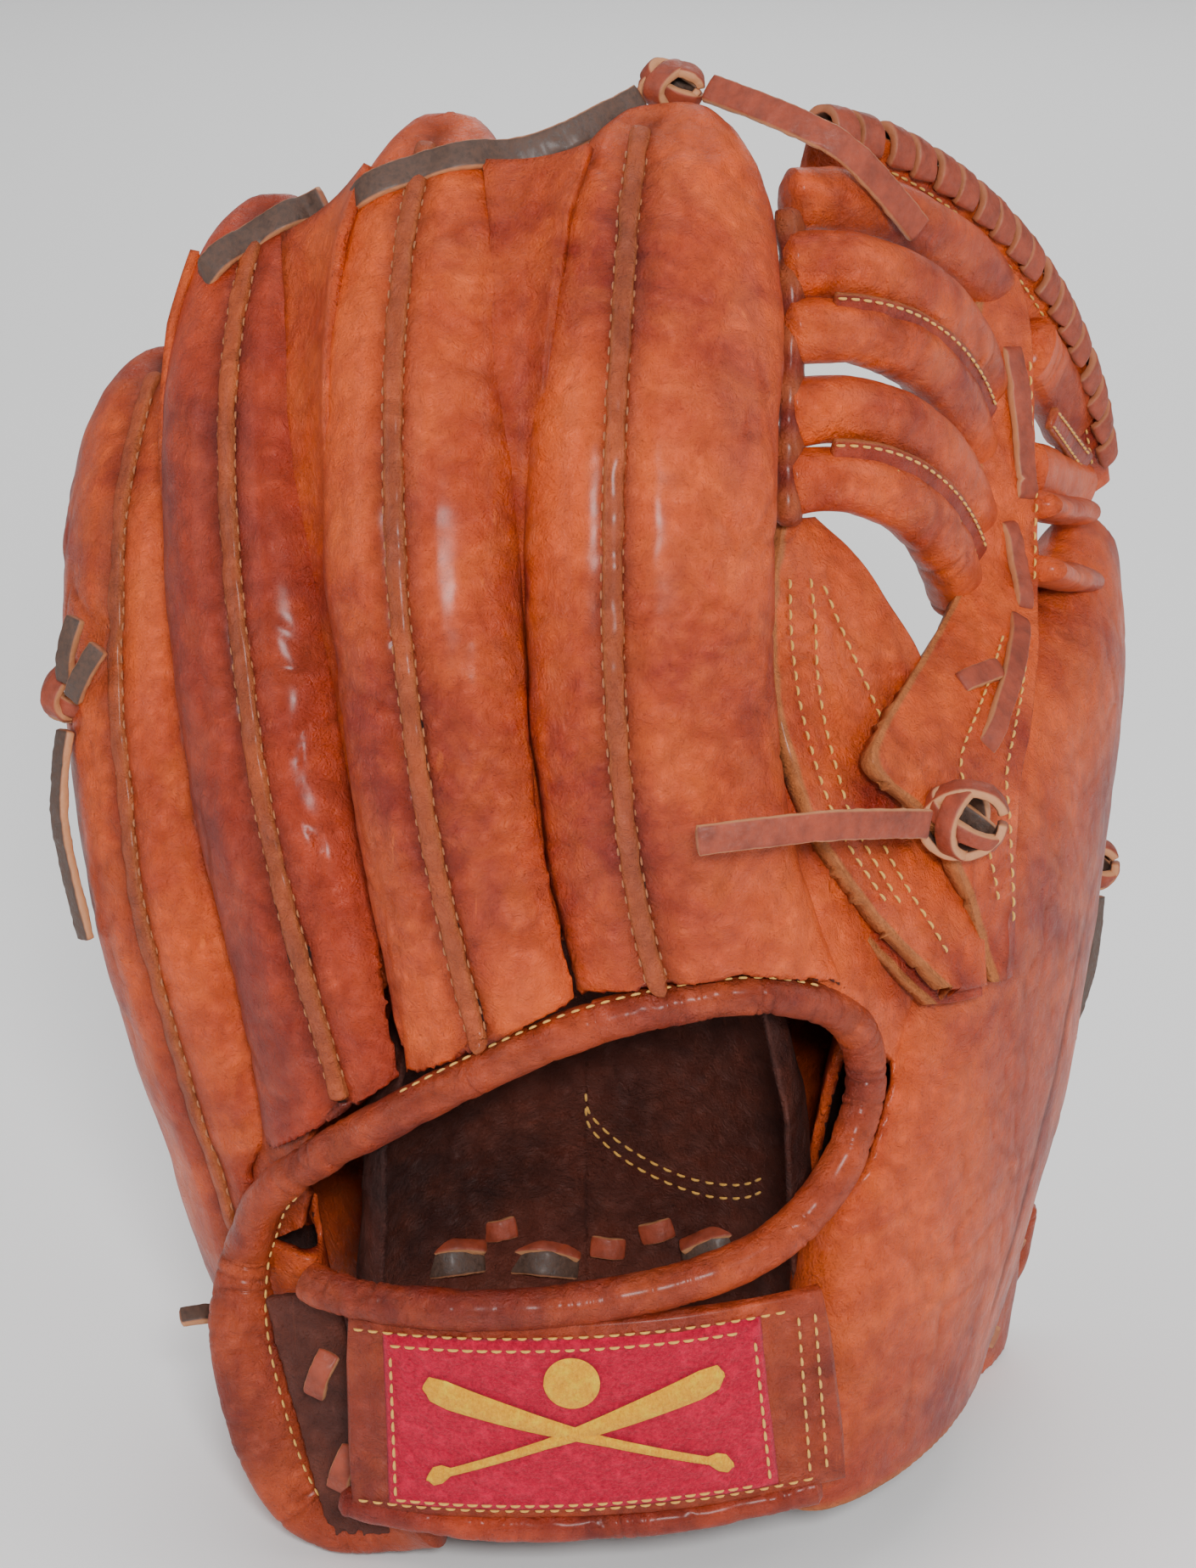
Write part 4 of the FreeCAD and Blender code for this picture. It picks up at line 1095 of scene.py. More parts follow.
hem_route = ((-34, -47, 15),) + PINKY_HEEL_EDGE[::-1]
left_edge = np.vstack([smooth_line(np.array(hem_route) * MM, 270)[:-8], loop_between(0, 5)[14:]])
left_edge = smooth_rows(resample(left_edge, 560), 30)
left_width = np.interp(left_edge[:, 2] / MM, (6, 12, 26, 48, 60, 70), (6, 7, 8.4, 7.6, 5.6, 4.1))
roll("opening_edge_left", left_edge, EDGE_RADIUS, "palm", 200,
     ["pinky_heel_binding", "pinky_binding", "opening_binding"],
     ("pinky_side", (-36, -50, 106), (-50, -45, 94)), wide=left_width)
roll("opening_edge_top", loop_between(5, 8), EDGE_RADIUS, "palm", 200, (),
     ("thumb_side", (34, -50, 127), (50, -41, 118)))
roll("opening_edge_right", loop_between(8, 11), EDGE_RADIUS, "palm", 205, ["thumb_binding"],
     ("thumb_side", (40, -52, 83), (50.5, -41, 112)))
roll("strap_edge", loop_between(11, 16), EDGE_RADIUS, "wrist_strap", 210, ["strap_binding"])
roll("strap_lower_edge", smooth_line(np.array(STRAP_LOWER_EDGE) * MM, 300), 3.1, "wrist_strap", 215,
     ["strap_lower_binding"], material=BROWN)
roll("thumb_heel_edge", smooth_line(np.array(THUMB_HEEL_EDGE) * MM, 220), 3.2, "thumb_side", 220,
     ["thumb_heel_binding"], front=(1, -1, 0))
edge_stitches(loop_between(3, 7), "palm")
hem = left_edge[40:330]
hem_front = np.broadcast_to((0, -1, 0.2), hem.shape)
threads["pinky_side"].row(hem + (np.array([0.75, -0.62, 0.1]) * 6.4) * MM, hem_front, *BINDING_STITCH)

# ---------------------------------------------------------------- the strap and its felt label


def on_strap(t, height, lift):
    """Places on the strap; height is from its middle and lift off its middle plane, in millimetres."""
    spine = Spine("strap")
    _, across, facing = spine.frames(t)
    height, lift = np.asarray(height)[..., None], np.asarray(lift)[..., None]
    return spine.point(t) + across * height * MM + facing * lift * MM


def strap_stitches(t, height, lift, stitch, shift=0.0):
    """A row of stitches over the strap, at shares t of its length, moved along it by a shift."""
    threads["wrist_strap"].row(on_strap(t + shift, height, lift), Spine("strap").frames(t)[2], *stitch)


def make_strap():
    t = np.linspace(0.035, 1.03, 150)
    path = Spine("strap").point(t)
    _, _, facing = Spine("strap").frames(t)

    def relief(s, a, grid):
        body_puff = 0.5 * np.abs(np.sin(a)) ** 0.5
        return body_puff + 0.3 * clouds(grid, 16, 230) - 0.35 * ridges(grid, 9, 231)

    def values(s, a, grid):
        # Painted shade: darker in the creases.
        return {"tone": 0.45 + 0.5 * clouds(grid, 24, 232), "groove_shade": ridges(grid, 9, 231) * 0.5}

    sweep("strap_leather", path, facing, 21, 1.7, BINDING, "wrist_strap", columns=64, power=7, relief=relief,
          values=values, replaces=["wrist_strap"])
    sweep("strap_back", path - facing * 2.8 * MM, facing, 19, 0.9, LINING, "wrist_strap", columns=48, power=7,
          values=lambda s, a, grid: {"tone": 0.5 + 0.5 * clouds(grid, 20, 233)}, replaces=["strap_lining"])
    for height in (18.6, -18.6):
        strap_stitches(np.linspace(0.05, 0.98, 200), height, 2.5, STRAP_STITCH)
    up = np.linspace(-17, 18, 60)
    for at in (0.965, 1.0):
        strap_stitches(np.full(60, at), up, 2.45, STRAP_STITCH, 0.0004 * up)


make_strap()
PATCH_LIFT = 3.0


def make_label():
    """The felt patch, with a fuzzy face and edges that are pressed down."""
    rows, columns = 75, 150
    t, height = np.meshgrid(np.linspace(0.115, 0.895, columns), np.linspace(-18.6, 18.4, rows))
    grid = on_strap(t.ravel(), height.ravel(), PATCH_LIFT).reshape(rows, columns, 3)
    facing = -grid_normals(grid)
    if facing[30, 70, 1] > 0:
        facing = -facing
    fuzz = 0.12 * clouds(grid, 1.6, 240) + 0.25 * clouds(grid, 12, 241)
    from_edge = [np.minimum(np.arange(count), count - 1 - np.arange(count)) for count in (rows, columns)]
    near = np.clip(np.minimum.outer(*from_edge) / 3.0, 0, 1)
    grid = grid + facing * ((fuzz - 0.9 * (1 - near) ** 2) * MM)[..., None]
    obj = skin("label_patch_felt", grid, RED_FELT, thickness=1.2 * MM)
    attach(obj, "wrist_strap", replaces=["label_patch"])


make_label()


def satin(label, outline_low, outline_high, xs, ridge=0.75):
    """Raised satin stitching between two outlines, given as heights at each x."""
    count = 9
    u = np.linspace(0, 1, count)
    low, high = np.asarray(outline_low), np.asarray(outline_high)
    ys = low[:, None] * (1 - u) + high[:, None] * u
    xx = np.repeat(np.asarray(xs)[:, None], count, 1)
    dome = np.sin(u * math.pi)[None] ** 0.6 * ridge
    ribs = 0.13 * np.sin(xx * 9.0 + ys * 1.2)
    lift = PATCH_LIFT + 0.7 + dome + ribs * (dome > 0.1)
    points = on_strap((0.505 + xx / 96.0).ravel(), ys.ravel(), lift.ravel())
    obj = skin(label, points.reshape(len(xs), count, 3), GOLD)
    attach(obj, "wrist_strap")


def embroider_bat(label, slope, flip):
    """A ball player's bat: knob, handle and barrel, on a slope across the label."""
    x = np.linspace(-29, 29, 240)
    along = (x + 29) / 58
    if flip:
        along = 1 - along
    half = np.interp(along, (0, 0.02, 0.05, 0.08, 0.4, 0.7, 0.92, 0.98, 1.0),
                     (0.4, 2.0, 2.0, 0.9, 1.1, 2.4, 3.1, 2.6, 0.4))
    middle = slope * x - 1.5
    satin(label, middle - half, middle + half, x)


embroider_bat("embroidered_bat_a", 0.34, False)
embroider_bat("embroidered_bat_b", -0.34, True)
ball_x = np.linspace(-5.4, 5.4, 60)
ball_half = np.sqrt(np.maximum(5.4**2 - ball_x**2, 0.01))
satin("embroidered_ball", 9.5 - ball_half, 9.5 + ball_half, ball_x, 0.6)
LABEL_LEFT, LABEL_RIGHT, LABEL_STITCH_LIFT = 0.135, 0.875, PATCH_LIFT + 0.75
for at in (LABEL_RIGHT, LABEL_LEFT):
    strap_stitches(np.full(60, at), np.linspace(-16, 16, 60), LABEL_STITCH_LIFT, LABEL_STITCH)
for height in (16.6, -16.8):
    strap_stitches(np.linspace(LABEL_LEFT, LABEL_RIGHT, 160), height, LABEL_STITCH_LIFT, LABEL_STITCH)

# ---------------------------------------------------------------- inside the hand opening


def cavity_lining():
    """The dark lining on the palm side of the hand's space, in two halves."""
    heights = np.linspace(14, 152, 100)
    angle = np.radians(np.linspace(-25, 205, 200))
    wide = np.interp(heights, (14, 60, 100, 132, 152), (44, 45, 42, 34, 22))
    deep = np.interp(heights, (14, 60, 100, 132, 152), (27, 29, 27, 20, 6))
    centre_y = np.interp(heights, (14, 60, 132, 152), (-29, -28, -31, -34))
    x = -2 + wide[:, None] * np.cos(angle)[None]
    y = centre_y[:, None] + deep[:, None] * np.sin(angle)[None]
    z = np.repeat(heights[:, None], len(angle), 1)
    grid = np.stack([x, y, z], -1) * MM
    crease = ridges(grid, 11, 251)
    grid = grid - grid_normals(grid) * ((clouds(grid, 18, 250) - crease * 0.8) * MM)[..., None]
    # Painted shade: darker in the creases.
    values = {"tone": 0.5 + 0.6 * clouds(grid, 22, 252), "groove_shade": crease * 0.5}
    halves = []
    for label, span, blend, nodes in (
            ("cavity_lining_right", slice(0, 101), ("thumb_side", (28, -10, 60), (42, -20, 60)), ["palm_lining"]),
            ("cavity_lining_left", slice(100, None), ("pinky_side", (-30, -10, 60), (-44, -20, 60)),
             ["palm_felt"])):
        part = {key: value[:, span] for key, value in values.items()}
        obj = skin(label, grid[:, span], LINING, thickness=1.2 * MM, attributes=part)
        attach(obj, "palm", blend, nodes)
        halves.append(Cloth(obj))
    return halves[::-1]


linings = cavity_lining()


def lining_rows():
    """The two curved rows of stitches that hold the palm lining."""
    for offset in (0, 3.2):
        route = np.array([(-4, -22, 80), (4, -22, 70), (19, -22, 63), (29, -22, 64), (34, -22, 69)])
        line = (smooth_line(route + (0, 0, offset), 120) + (0.0001 * offset, 0, 0)) * MM
        path, normals = linings[1].lay(line, np.array([0, 1.0, 0]))
        threads["palm"].row(smooth_rows(path, 4), normals, *LINING_STITCH)


lining_rows()

for k, (x, z, tilt) in enumerate(((-30, 50, 0.15), (-11, 47, -0.1), (24, 52, 0.25))):
    spot, _ = linings[x > -10].lay(np.array([[x, -25, z]]) * MM, np.array([0, 1.0, 0]))
    short_lace(f"heel_lace_{k}", spot[0] / MM - np.array([0, 0.6, 0]), (1, 0, tilt), (0, -1, 0.5), 13, "palm",
               260 + k, nodes=["heel_lace"] if k == 0 else (), bow=3.0)
    short_lace(f"heel_lace_lip_{k}", spot[0] / MM + np.array([0, 0.4, 2.6]), (1, 0, tilt), (0, -0.6, 1), 14,
               "palm", 264 + k, flesh=False, bow=2.2, half_wide=1.5)
for k, (x, z, tilt) in enumerate(((-20, 55, 0.2), (2, 50, -0.1), (12, 54, 0.3))):
    spot, _ = linings[x > -10].lay(np.array([[x, -25, z]]) * MM, np.array([0, 1.0, 0]))
    short_lace(f"heel_lace_tan_{k}", spot[0] / MM - np.array([0, 0.5, 0]), (1, 0, tilt), (0, -1, 0.25), 6, "palm",
               270 + k, flesh=False, half_wide=2.2)

# ---------------------------------------------------------------- crotch leather


def loose_panel(label, rows, body, blend=None, seed=0, material=TAN):
    """A leather panel through rows of corner points in millimetres."""
    grid = fair(across_rows(rows, 70), 90)
    crease = ridges(grid, 9, seed + 1)
    push = (clouds(grid, 16, seed) * 0.7 - crease * 0.5) * MM
    grid = grid + grid_normals(grid) * push[..., None]
    # Painted shade: darker in the creases.
    values = {"tone": 0.5 + 0.5 * clouds(grid, 30, seed + 2), "groove_shade": crease * 0.4}
    obj = skin(label, grid, material, thickness=2.4 * MM, attributes=values)
    attach(obj, body, blend)


loose_panel(
    "crotch_leather",
    (((34, -48, 124), (43, -48, 124), (50, -44, 118), (56, -36, 108), (62, -26, 98)),
     ((32, -48, 137), (42, -47, 136), (51, -41, 128), (60, -29, 117), (68, -16, 107)),
     ((30, -45, 152), (40, -44, 150), (51, -36, 141), (62, -22, 129), (72, -8, 116)),
     ((30, -40, 167), (38, -38, 164), (49, -29, 154), (62, -13, 139), (74, 2, 124)),
     ((32, -32, 184), (37, -29, 180), (48, -20, 168), (62, -3, 150), (76, 12, 132))),
    "palm", CROTCH_BLEND, seed=300)

# ---------------------------------------------------------------- web


def bar_path(name, extend=0.0):
    """A spine's path and facing directions; extend is how far it starts before its solid does."""
    t = np.linspace(-extend, 1 + min(extend, 0.03), 110)
    return Spine(name).point(t), Spine(name).frames(t)[2]


def front_path(name, extend=0.0):
    """The same, with directions that face the back of the hand."""
    path, facing = bar_path(name, extend)
    return path, facing if facing[len(facing) // 2, 1] < 0 else -facing


def round_bar(s, a):
    """Places on a bar rolled out to a radius of 4 mm, so that creases run along it."""
    return np.stack([s * MM, np.cos(a) * 4 * MM, np.sin(a) * 4 * MM], -1)


def web_bar(name, label, seed):
    """One padded roll of the web; it starts a little further in than its solid, against the index finger."""
    path, front = front_path(name, 0.1 if "thumb" not in name else 0.03)
    spine = Spine(name)

    def relief(s, a, grid):
        return 0.25 * clouds(grid, 7, seed) - 0.45 * ridges(round_bar(s, a), 5, seed + 1, 5)

    def values(s, a, grid):
        # Painted shade: darker in the creases along the roll.
        return {"tone": 0.45 + 0.5 * clouds(grid, 14, seed),
                "groove_shade": 0.6 * ridges(round_bar(s, a), 5, seed + 1, 5)}

    bar, _ = sweep(label, path, front, spine.width / MM / 2 + 0.3, spine.thick / MM / 2 + 0.2, TAN, "thumb_side",
                   columns=32, power=2.3, relief=relief, values=values, replaces=[label.replace("roll_", "web_")])


for seed, name in enumerate(("top_bar", "upper_bar_top", "upper_bar_low", "lower_bar_top", "lower_bar_low",
                             "thumb_bar_upper", "thumb_bar_lower")):
    web_bar("web_top_bar" if name == "top_bar" else name, f"roll_{name}", 310 + 4 * seed)


def seam_strip(label, top, low, seed):
    """The flat raw-edged strip, sewn down both edges, between the two rolls of a bar."""
    path, front = front_path(top)
    path = ((path + front_path(low)[0]) / 2 + front * 4.6 * MM)[4:-4]
    front = front[4:-4]

    def values(s, a, grid):
        return {"tone": 0.8, "worn": np.clip(np.abs(np.cos(a)) * 4 - 2.8, 0, 1) * 0.8}

    sweep(label, path, front, 2.4, 0.9, BROWN, "thumb_side", columns=20, power=4, values=values,
          relief=lumps(0.15, 4, seed))
    for side in (-1.5, 1.5):
        line = beside(path, front, side) + front * 0.95 * MM
        threads["thumb_side"].row(line, front, *BAR_STITCH)


seam_strip("bar_seam_upper", "upper_bar_top", "upper_bar_low", 350)
seam_strip("bar_seam_lower", "lower_bar_top", "lower_bar_low", 354)
seam_strip("bar_seam_thumb", "thumb_bar_upper", "thumb_bar_lower", 358)


def on_grid(grid, rows, columns, lift):
    """Points and normals on a panel, at shares of its rows and columns from 0 to 1, lifted in millimetres."""
    normals = grid_normals(grid)
    i = np.clip(np.asarray(rows) * (grid.shape[0] - 1), 0, grid.shape[0] - 1.001)
    j = np.clip(np.asarray(columns) * (grid.shape[1] - 1), 0, grid.shape[1] - 1.001)
    a, b = i.astype(int), j.astype(int)
    u, v = (i - a)[:, None], (j - b)[:, None]

    def at(values):
        return ((values[a, b] * (1 - v) + values[a, b + 1] * v) * (1 - u)
                + (values[a + 1, b] * (1 - v) + values[a + 1, b + 1] * v) * u)

    front = unit(at(normals))
    front = front * -np.sign(front[:, 1:2])
    return at(grid) + front * lift * MM, front


def panel_stitches(grid, rows, columns):
    """A row of stitches on a panel, between two shares of its rows and through even steps of shares across."""
    line, normals = on_grid(grid, np.linspace(rows[0], rows[-1], 80),
                            np.interp(np.linspace(0, 1, 80), np.linspace(0, 1, len(columns)), columns), 0.4)
    threads["thumb_side"].row(smooth_rows(line, 8), normals, *STRAP_STITCH)


def web_panel(label, rows, seed, material, thickness, nodes=(), raw=1.5):
    """A flat panel of the web, through rows of left and right edge points, with a raw left edge, raw mm wide."""
    control, bulge = [], np.array([0, -0.8, 0])
    for left, right in rows:
        left, right = np.array(left, float), np.array(right, float)
        control.append([left, left * 0.67 + right * 0.33 + bulge, left * 0.33 + right * 0.67 + bulge, right])
    grid = fair(across_rows(control, 90), 150)
    crease = ridges(grid, 6, seed + 1)
    grid = grid + (clouds(grid, 12, seed) * 0.5 - crease * 0.35)[..., None] * grid_normals(grid) * MM
    width = np.linalg.norm(grid[:, -1] - grid[:, 0], axis=1)[:, None] / MM
    from_edge = np.linspace(0, 1, 90)[None] * width
    # Painted shade: darker in the creases.
    values = {"tone": 0.42 + 0.45 * clouds(grid, 16, seed + 2), "groove_shade": 0.4 * crease,
              "worn": np.clip((raw - from_edge) / 0.7 + 0.5 + 0.4 * clouds(grid, 3, seed + 3), 0, 1)}
    away = grid_normals(grid)[..., 1].mean() > 0
    obj = skin(label, grid, material, thickness=thickness * MM, attributes=values, flip=away)
    attach(obj, "thumb_side", replaces=nodes)
    return grid


base_rows = (((35, -14, 210), (41, -8, 208)), ((33.5, -20, 204), (50, -5, 199)),
             ((32.5, -26, 196), (57, -3, 188)), ((32.5, -31, 187), (63, -3, 177)),
             ((33, -36, 179), (66.5, -5, 167)), ((37, -41, 169), (69.5, -9, 157)),
             ((40.5, -43, 158), (72.5, -13, 147)), ((46.5, -43, 148), (74, -18, 137)),
             ((56.5, -41, 135), (74.5, -24, 128)), ((66.5, -38, 124), (74.5, -28, 120)))
base_grid = web_panel("web_base_leather", base_rows, 370, TAN, 3.4, ["web_base"], 1.2)
under_rows = [((a[0] - 3, a[1] + 3.4, a[2] - 5), (b[0], b[1] + 4, b[2] - 4)) for a, b in base_rows[4:]]
web_panel("web_base_under", under_rows, 376, BROWN, 2.6, (), 1.6)
post_rows = (((78, 56, 241), (85, 63, 238)), ((74.5, 50, 231), (87.5, 60, 228)),
             ((73.5, 42, 213), (88.5, 53, 210)), ((77, 35, 197), (89, 46, 194)),
             ((72.5, 24, 184), (88.5, 36, 180)), ((62, -5, 178), (87, 14, 171)),
             ((53, -28, 173), (84.5, 0, 162)), ((49, -38, 169), (82, -8, 157)),
             ((62, -31, 157), (81.5, -11, 149)), ((70, -27, 142), (81.5, -13, 138)),
             ((73, -25, 130), (81.5, -15, 128)), ((76, -24, 119), (80.5, -19, 118)))
post_grid = web_panel("web_post_leather", post_rows, 360, TAN, 3.2, ["web_post"], 2.0)
panel_stitches(base_grid, (0.12, 0.8), (0.13, 0.12, 0.12, 0.16))
panel_stitches(base_grid, (0.12, 0.8), (0.32, 0.25, 0.22, 0.27))
panel_stitches(base_grid, (0.14, 0.6), (0.42, 0.56, 0.66))
panel_stitches(base_grid, (0.66, 0.95), (0.36, 0.45))
panel_stitches(post_grid, (0.50, 0.92), (0.62, 0.55, 0.5))
panel_stitches(post_grid, (0.55, 0.94), (0.88, 0.86))
panel_stitches(post_grid, (0.12, 0.42), (0.92, 0.92))


def rim_leather():
    path, front = front_path("web_rim")

    def values(s, a, grid):
        return {"tone": 0.5 + 0.4 * clouds(grid, 14, 380), "worn": np.clip(np.cos(a) * 5 - 4, 0, 1) * 0.8}

    sweep("rim_leather", path, front, 6, 2, TAN, "thumb_side", columns=44, power=6,
          relief=lambda s, a, grid: 0.35 * clouds(grid, 9, 381) - 0.3 * ridges(grid, 6, 382), values=values,
          replaces=["web_rim"])
    for side in (-2.6, 0.5):
        line = beside(path, front, side) + front * 2.3 * MM
        threads["thumb_side"].row(line[3:-3], front[3:-3], *RIM_STITCH)


rim_leather()


WRAP_PITCH = 7.2


def rim_wraps():
    """The lace that spirals over the rim: a bump every few millimetres along its outer edge."""
    path, front = front_path("web_rim")
    side = np.cross(front, unit(np.gradient(path, axis=0)))
    outer = side if side[55, 2] + side[55, 0] > 0 else -side
    s = np.concatenate([[0], np.cumsum(np.linalg.norm(np.diff(path, axis=0), axis=1))])
    for k in range(int(s[-1] / MM / WRAP_PITCH)):
        i = int(np.interp((k + 0.5) * WRAP_PITCH * MM, s, np.arange(len(s))))
        along = unit(path[min(i + 1, len(path) - 1)] - path[i - 1])
        angle = np.linspace(-1.9, 1.9, 26)[:, None]
        lean = 0.25 * math.sin(k * 4.7)
        centre = path[i] + outer[i] * 3.6 * MM
        loop = (centre + outer[i] * np.cos(angle) * 4.6 * MM + front[i] * np.sin(angle) * 3.6 * MM
                + along * (angle * (0.9 + lean)) * MM)
        up = outer[i] * np.cos(angle) + front[i] * np.sin(angle)
        lace_band(f"rim_lace_{k}", loop, up, "thumb_side", 400 + k, half_wide=2.9, pale=0.4)


rim_wraps()


def panel_lace(label, grid, start, end, seed, nodes=(), half_wide=2.3, bow=1.6):
    """A lace out of a panel at one place and back in at another; places are shares of its grid."""
    t = np.linspace(0, 1, 36)
    path, up = on_grid(grid, start[0] + (end[0] - start[0]) * t, start[1] + (end[1] - start[1]) * t, 0)
    path = path + up * (np.sin(t * math.pi) ** 0.5 * bow - 0.6)[:, None] * MM
    lace_band(label, path, up, "thumb_side", seed, nodes=nodes, half_wide=half_wide)


for k, (start, end, half_wide) in enumerate((
        ((0.10, 0.66), (0.29, 0.80), 2.6), ((0.31, 0.50), (0.45, 0.84), 2.0), ((0.47, 0.80), (0.70, 0.72), 2.2),
        ((0.575, 0.40), (0.565, 0.66), 2.2))):
    panel_lace(f"post_lace_{k}", post_grid, start, end, 440 + k, ["post_lace"] if k == 0 else (), half_wide)
panel_lace("base_lace", base_grid, (0.46, 0.60), (0.64, 0.62), 448, half_wide=2.6)

# The two padded folds between the post and the thumb: three points of each one's middle line.
THUMB_FOLDS = (((87, 46, 194), (93, 62, 188), (98, 76, 183)), ((87, 38, 183), (93, 54, 176), (99, 70, 170)))
for k, route in enumerate(THUMB_FOLDS):
    fold, _ = sweep(f"thumb_fold_{k}", smooth_line(np.array(route) * MM, 60), (-0.3, -0.8, 0.5), 7.5, 3.0, TAN,
                    "thumb_side", columns=28, power=2.2,
                    relief=lambda s, a, grid: 0.4 * clouds(grid, 8, 550) - 0.4 * ridges(grid, 5, 551),
                    # Painted shade: darker in the creases.
                    values=lambda s, a, grid: {"tone": 0.55 + 0.5 * clouds(grid, 12, 552),
                                               "groove_shade": 0.5 * ridges(grid, 5, 551)})

# ---------------------------------------------------------------- laces and knots


def finger_lace(label, route, cloths, body, node, seed):
    """A lace laid over the finger tips, tied down at each place where it touches them."""
    line = smooth_line(np.array(route) * MM, 140)
    path, normals = [], []
    for point in line:
        places = [cloth.hit(point - FRONT_IN * 0.05, FRONT_IN) for cloth in cloths]
        places = [(p, n) for p, n in places if p is not None and np.linalg.norm(p - point) < LACE_REACH]
        place, normal = min(places, key=lambda pn: pn[0][1]) if places else (point, -FRONT_IN)
        path.append(place)
        normals.append(normal if normal @ FRONT_IN < 0 else -normal)
    path = smooth_rows(np.array(path), 60)
    up = unit(smooth_rows(np.array(normals), 60) - FRONT_IN)
    ripple = (1.5 + 0.5 * np.sin(np.linspace(0, 1, 140) * 17))[:, None] * MM
    lace_band(label, path + up * ripple, up, body, seed, flesh=True, nodes=[node])


finger_lace("finger_tip_lace", ((-47, 18, 260), (-38, 12, 268), (-28, 10, 272), (-10, 10, 274), (8, 19, 282)),
            (fingers["middle"], fingers["index"]), "palm", "tip_lace", 450)
finger_lace("ring_finger_lace", ((-80, 38, 229), (-76, 33, 243), (-69, 30, 251), (-60, 28, 257), (-53, 30, 260)),
            (fingers["ring"],), "pinky_side", "ring_tip_lace", 452)


def edge_strip():
    path, facing = bar_path("index_edge")
    sweep("index_edge_lacing", path - (0.0012, 0, 0), facing, 5, 2.4, BROWN, "palm", columns=24, power=3,
          relief=lambda s, a, grid: 0.3 * clouds(grid, 4, 460) + 0.22 * np.sin(s * 0.6),
          # Painted shade: darker in the dips between the lace turns.
          values=lambda s, a, grid: {"tone": 0.9, "worn": 0.2 + 0.2 * np.sin(s * 0.6),
                                     "groove_shade": 0.3 - 0.25 * np.sin(s * 0.6)},
          replaces=["index_edge_strip"])


edge_strip()


def tied_knot(label, body, node, centre, size, lean, seed):
    """A pulled-tight lace knot: a lace that goes round itself twice, over a core."""
    centre, size = np.array(centre, float) * MM, np.array(size, float) * MM
    angle = np.linspace(0, 2 * math.pi * 0.93, 60)[:, None]
    x, y, z = np.eye(3)
    turns = (((x * math.cos(lean) + z * math.sin(lean)), (-x * math.sin(lean) + z * math.cos(lean)), 0.36, 0.30),
             ((y * 0.8 + x * 0.5), z, 0.34, 0.36), ((x * 0.8 - z * 0.6), (y * 0.9 + z * 0.3), 0.30, 0.26))
    for k, (a, b, ra, rb) in enumerate(turns):
        a, b = unit(a), unit(b)
        reach_a, reach_b = np.abs(a) @ size * ra, np.abs(b) @ size * rb
        path = centre + a * np.cos(angle + k) * reach_a + b * np.sin(angle + k) * reach_b
        normal = unit(np.cross(a, b))
        path = path + normal * np.sin(angle * 1.5 + k) * 0.8 * MM
        up = unit(path - centre)
        lace_band(f"{label}_turn_{k}", path, up, body, seed + 3 * k, half_wide=2.3 - 0.25 * k,
                  nodes=[node] if k == 0 else ())


tied_knot("web_tie", "thumb_side", "web_knot", (69, -30, 155), (17, 10, 18), 0.3, 470)
tied_knot("tip_tie", "palm", "tip_knot", (14, 22, 284), (14, 10, 10), 0.1, 480)
tied_knot("pinky_tie", "pinky_side", "pinky_knot", (-104, 14, 165), (9, 15, 13), 0.8, 490)
tied_knot("thumb_tie", "thumb_side", "thumb_knot", (107, 76, 103), (9, 12, 13), 0.5, 500)

for k, (x, z) in enumerate(((-54, 46), (-50, 25))):
    short_lace(f"strap_end_lace_{k}", (x, -47.5, z), (0.35, 0, 1), (-0.3, -1, 0.2), 9, "pinky_side", 510 + k,
               flesh=False, bow=2.0, half_wide=2.2)

loose_panel("pinky_root_leather", (((-73, -20, 58), (-66, -27, 64), (-58, -32, 70)),
                                   ((-74, -18, 80), (-66, -29, 84), (-56, -37, 90)),
                                   ((-74, -12, 100), (-66, -22, 102), (-54, -36, 108))), "pinky_side", seed=520,
            material=BINDING)


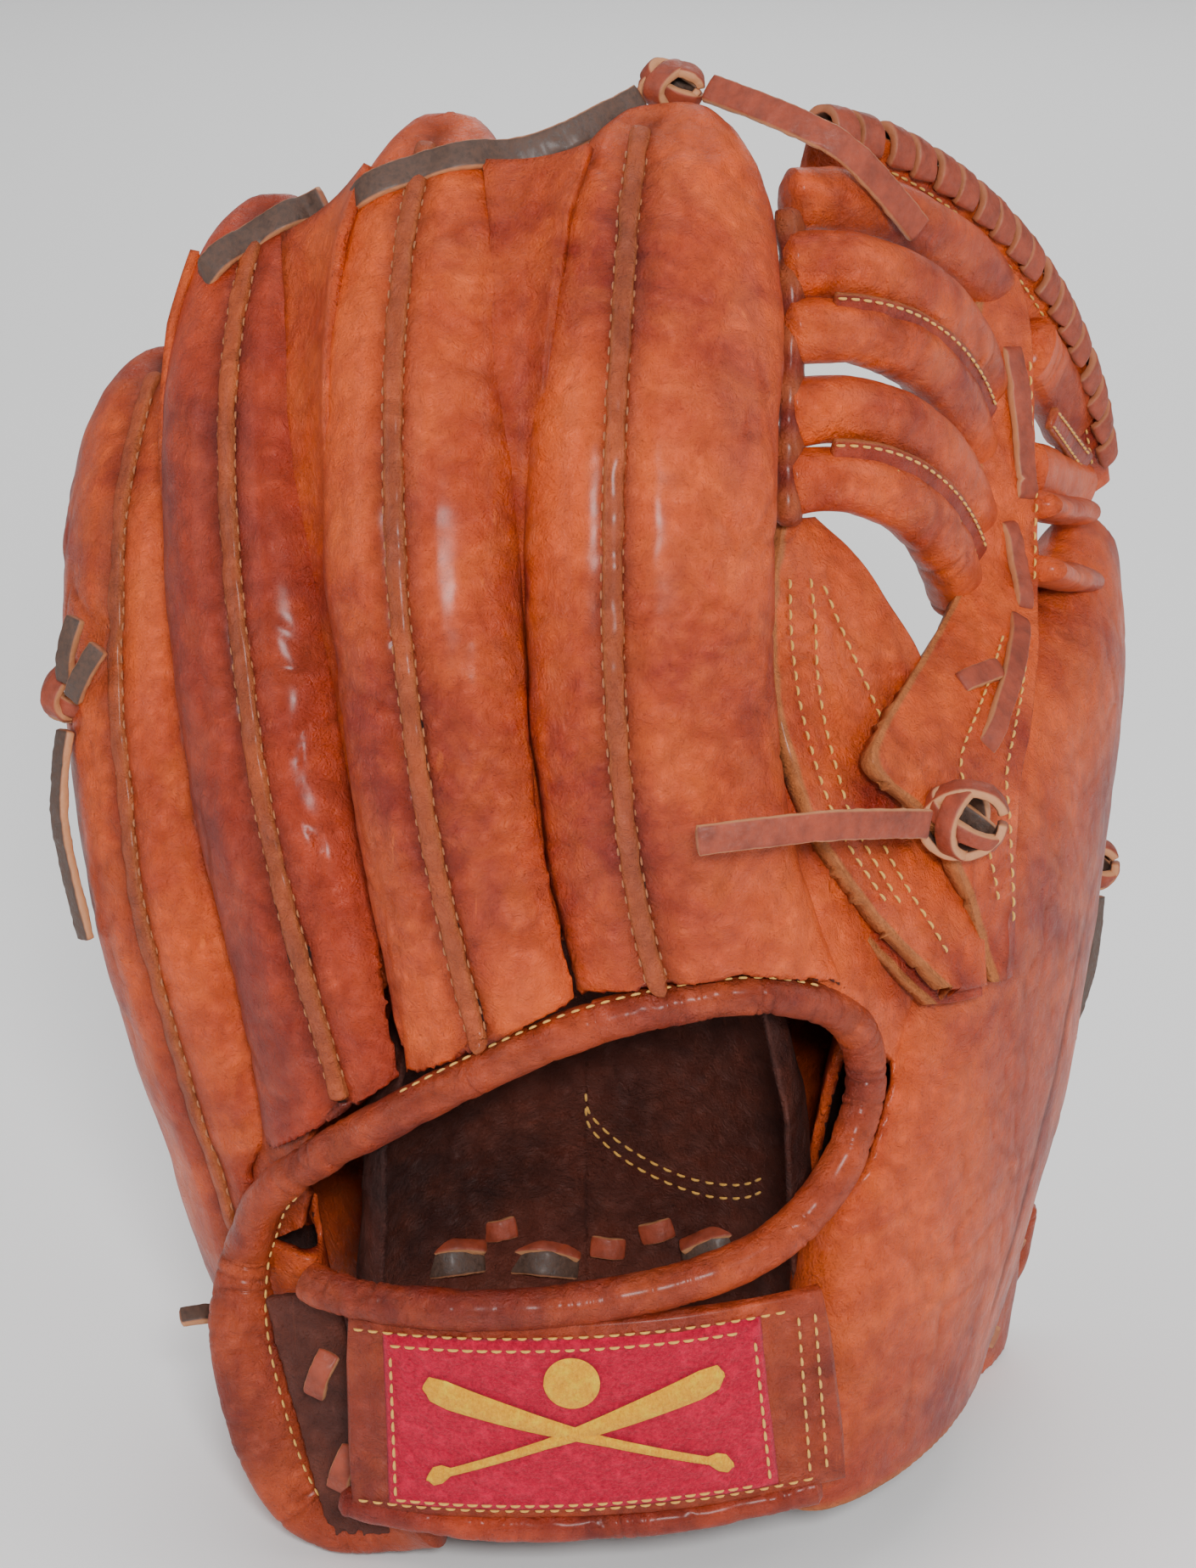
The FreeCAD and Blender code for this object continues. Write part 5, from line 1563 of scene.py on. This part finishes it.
def thumb_edge():
    """The raw seam down the thumb's outer edge, with the lace that ties the heel to it."""
    t = np.linspace(0.16, 0.62, 160)
    line, facing = back_line("thumb", 1.12, t)
    path, normals = thumb.lay(line, facing)
    path, normals = smooth_rows(path, 10), unit(smooth_rows(normals, 20))
    sweep("thumb_edge_welt", path + normals * 0.6 * MM, normals, 2.4, 1.3, BROWN, "thumb_side", columns=14,
          relief=lumps(0.35, 5, 530),
          # Painted shade: a little darker all over the welt.
          values=lambda s, a, grid: {"tone": 0.6, "worn": 0.3 + 0.5 * np.abs(np.cos(a)), "groove_shade": 0.1})
    for k, i in enumerate((8, 30, 56, 150)):
        across = np.cross(normals[i], unit(path[i + 1] - path[i - 1]))
        short_lace(f"thumb_edge_lace_{k}", (path[i] + normals[i] * 1.4 * MM) / MM, across + (0, 0, 0.3 * (k % 2)),
                   normals[i], 12, "thumb_side", 534 + k, flesh=False, half_wide=2.4)


thumb_edge()
for label, middle, along, up, body in (
        ("pinky_heel_lace_end", (-77, -21, 45), (-1, -0.3, 0.15), (0, -0.5, 1), "pinky_side"),
        ("pinky_tie_end_0", (-103.5, 7, 176), (0.2, 0, 1), (-0.8, -1, 0), "pinky_side"),
        ("pinky_tie_end_1", (-100, 2, 173), (0.5, -0.3, 1), (-0.5, -1, 0), "pinky_side"),
        ("thumb_tie_end_0", (105.5, 72, 117), (0.15, 0, 1), (0.8, -1, 0), "thumb_side"),
        ("thumb_upper_end_0", (106.5, 84, 166), (-0.35, 0, 1), (0.6, -1, 0), "thumb_side"),
        ("thumb_upper_end_1", (107.5, 82, 155), (0.4, 0, 1), (0.8, -1, 0), "thumb_side")):
    short_lace(label, middle, along, up, 13, body, 540, half_wide=2.0)

# ---------------------------------------------------------------- padding that stays inside the leather

for name in (*FINGERS, "thumb"):
    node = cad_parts[f"{name}_stiffener"]
    node.data.materials.clear()
    node.data.materials.append(GREY_FELT)

# ---------------------------------------------------------------- end

for stitching in [*threads.values(), *seam_threads.values()]:
    if stitching.points:
        stitching.finish()
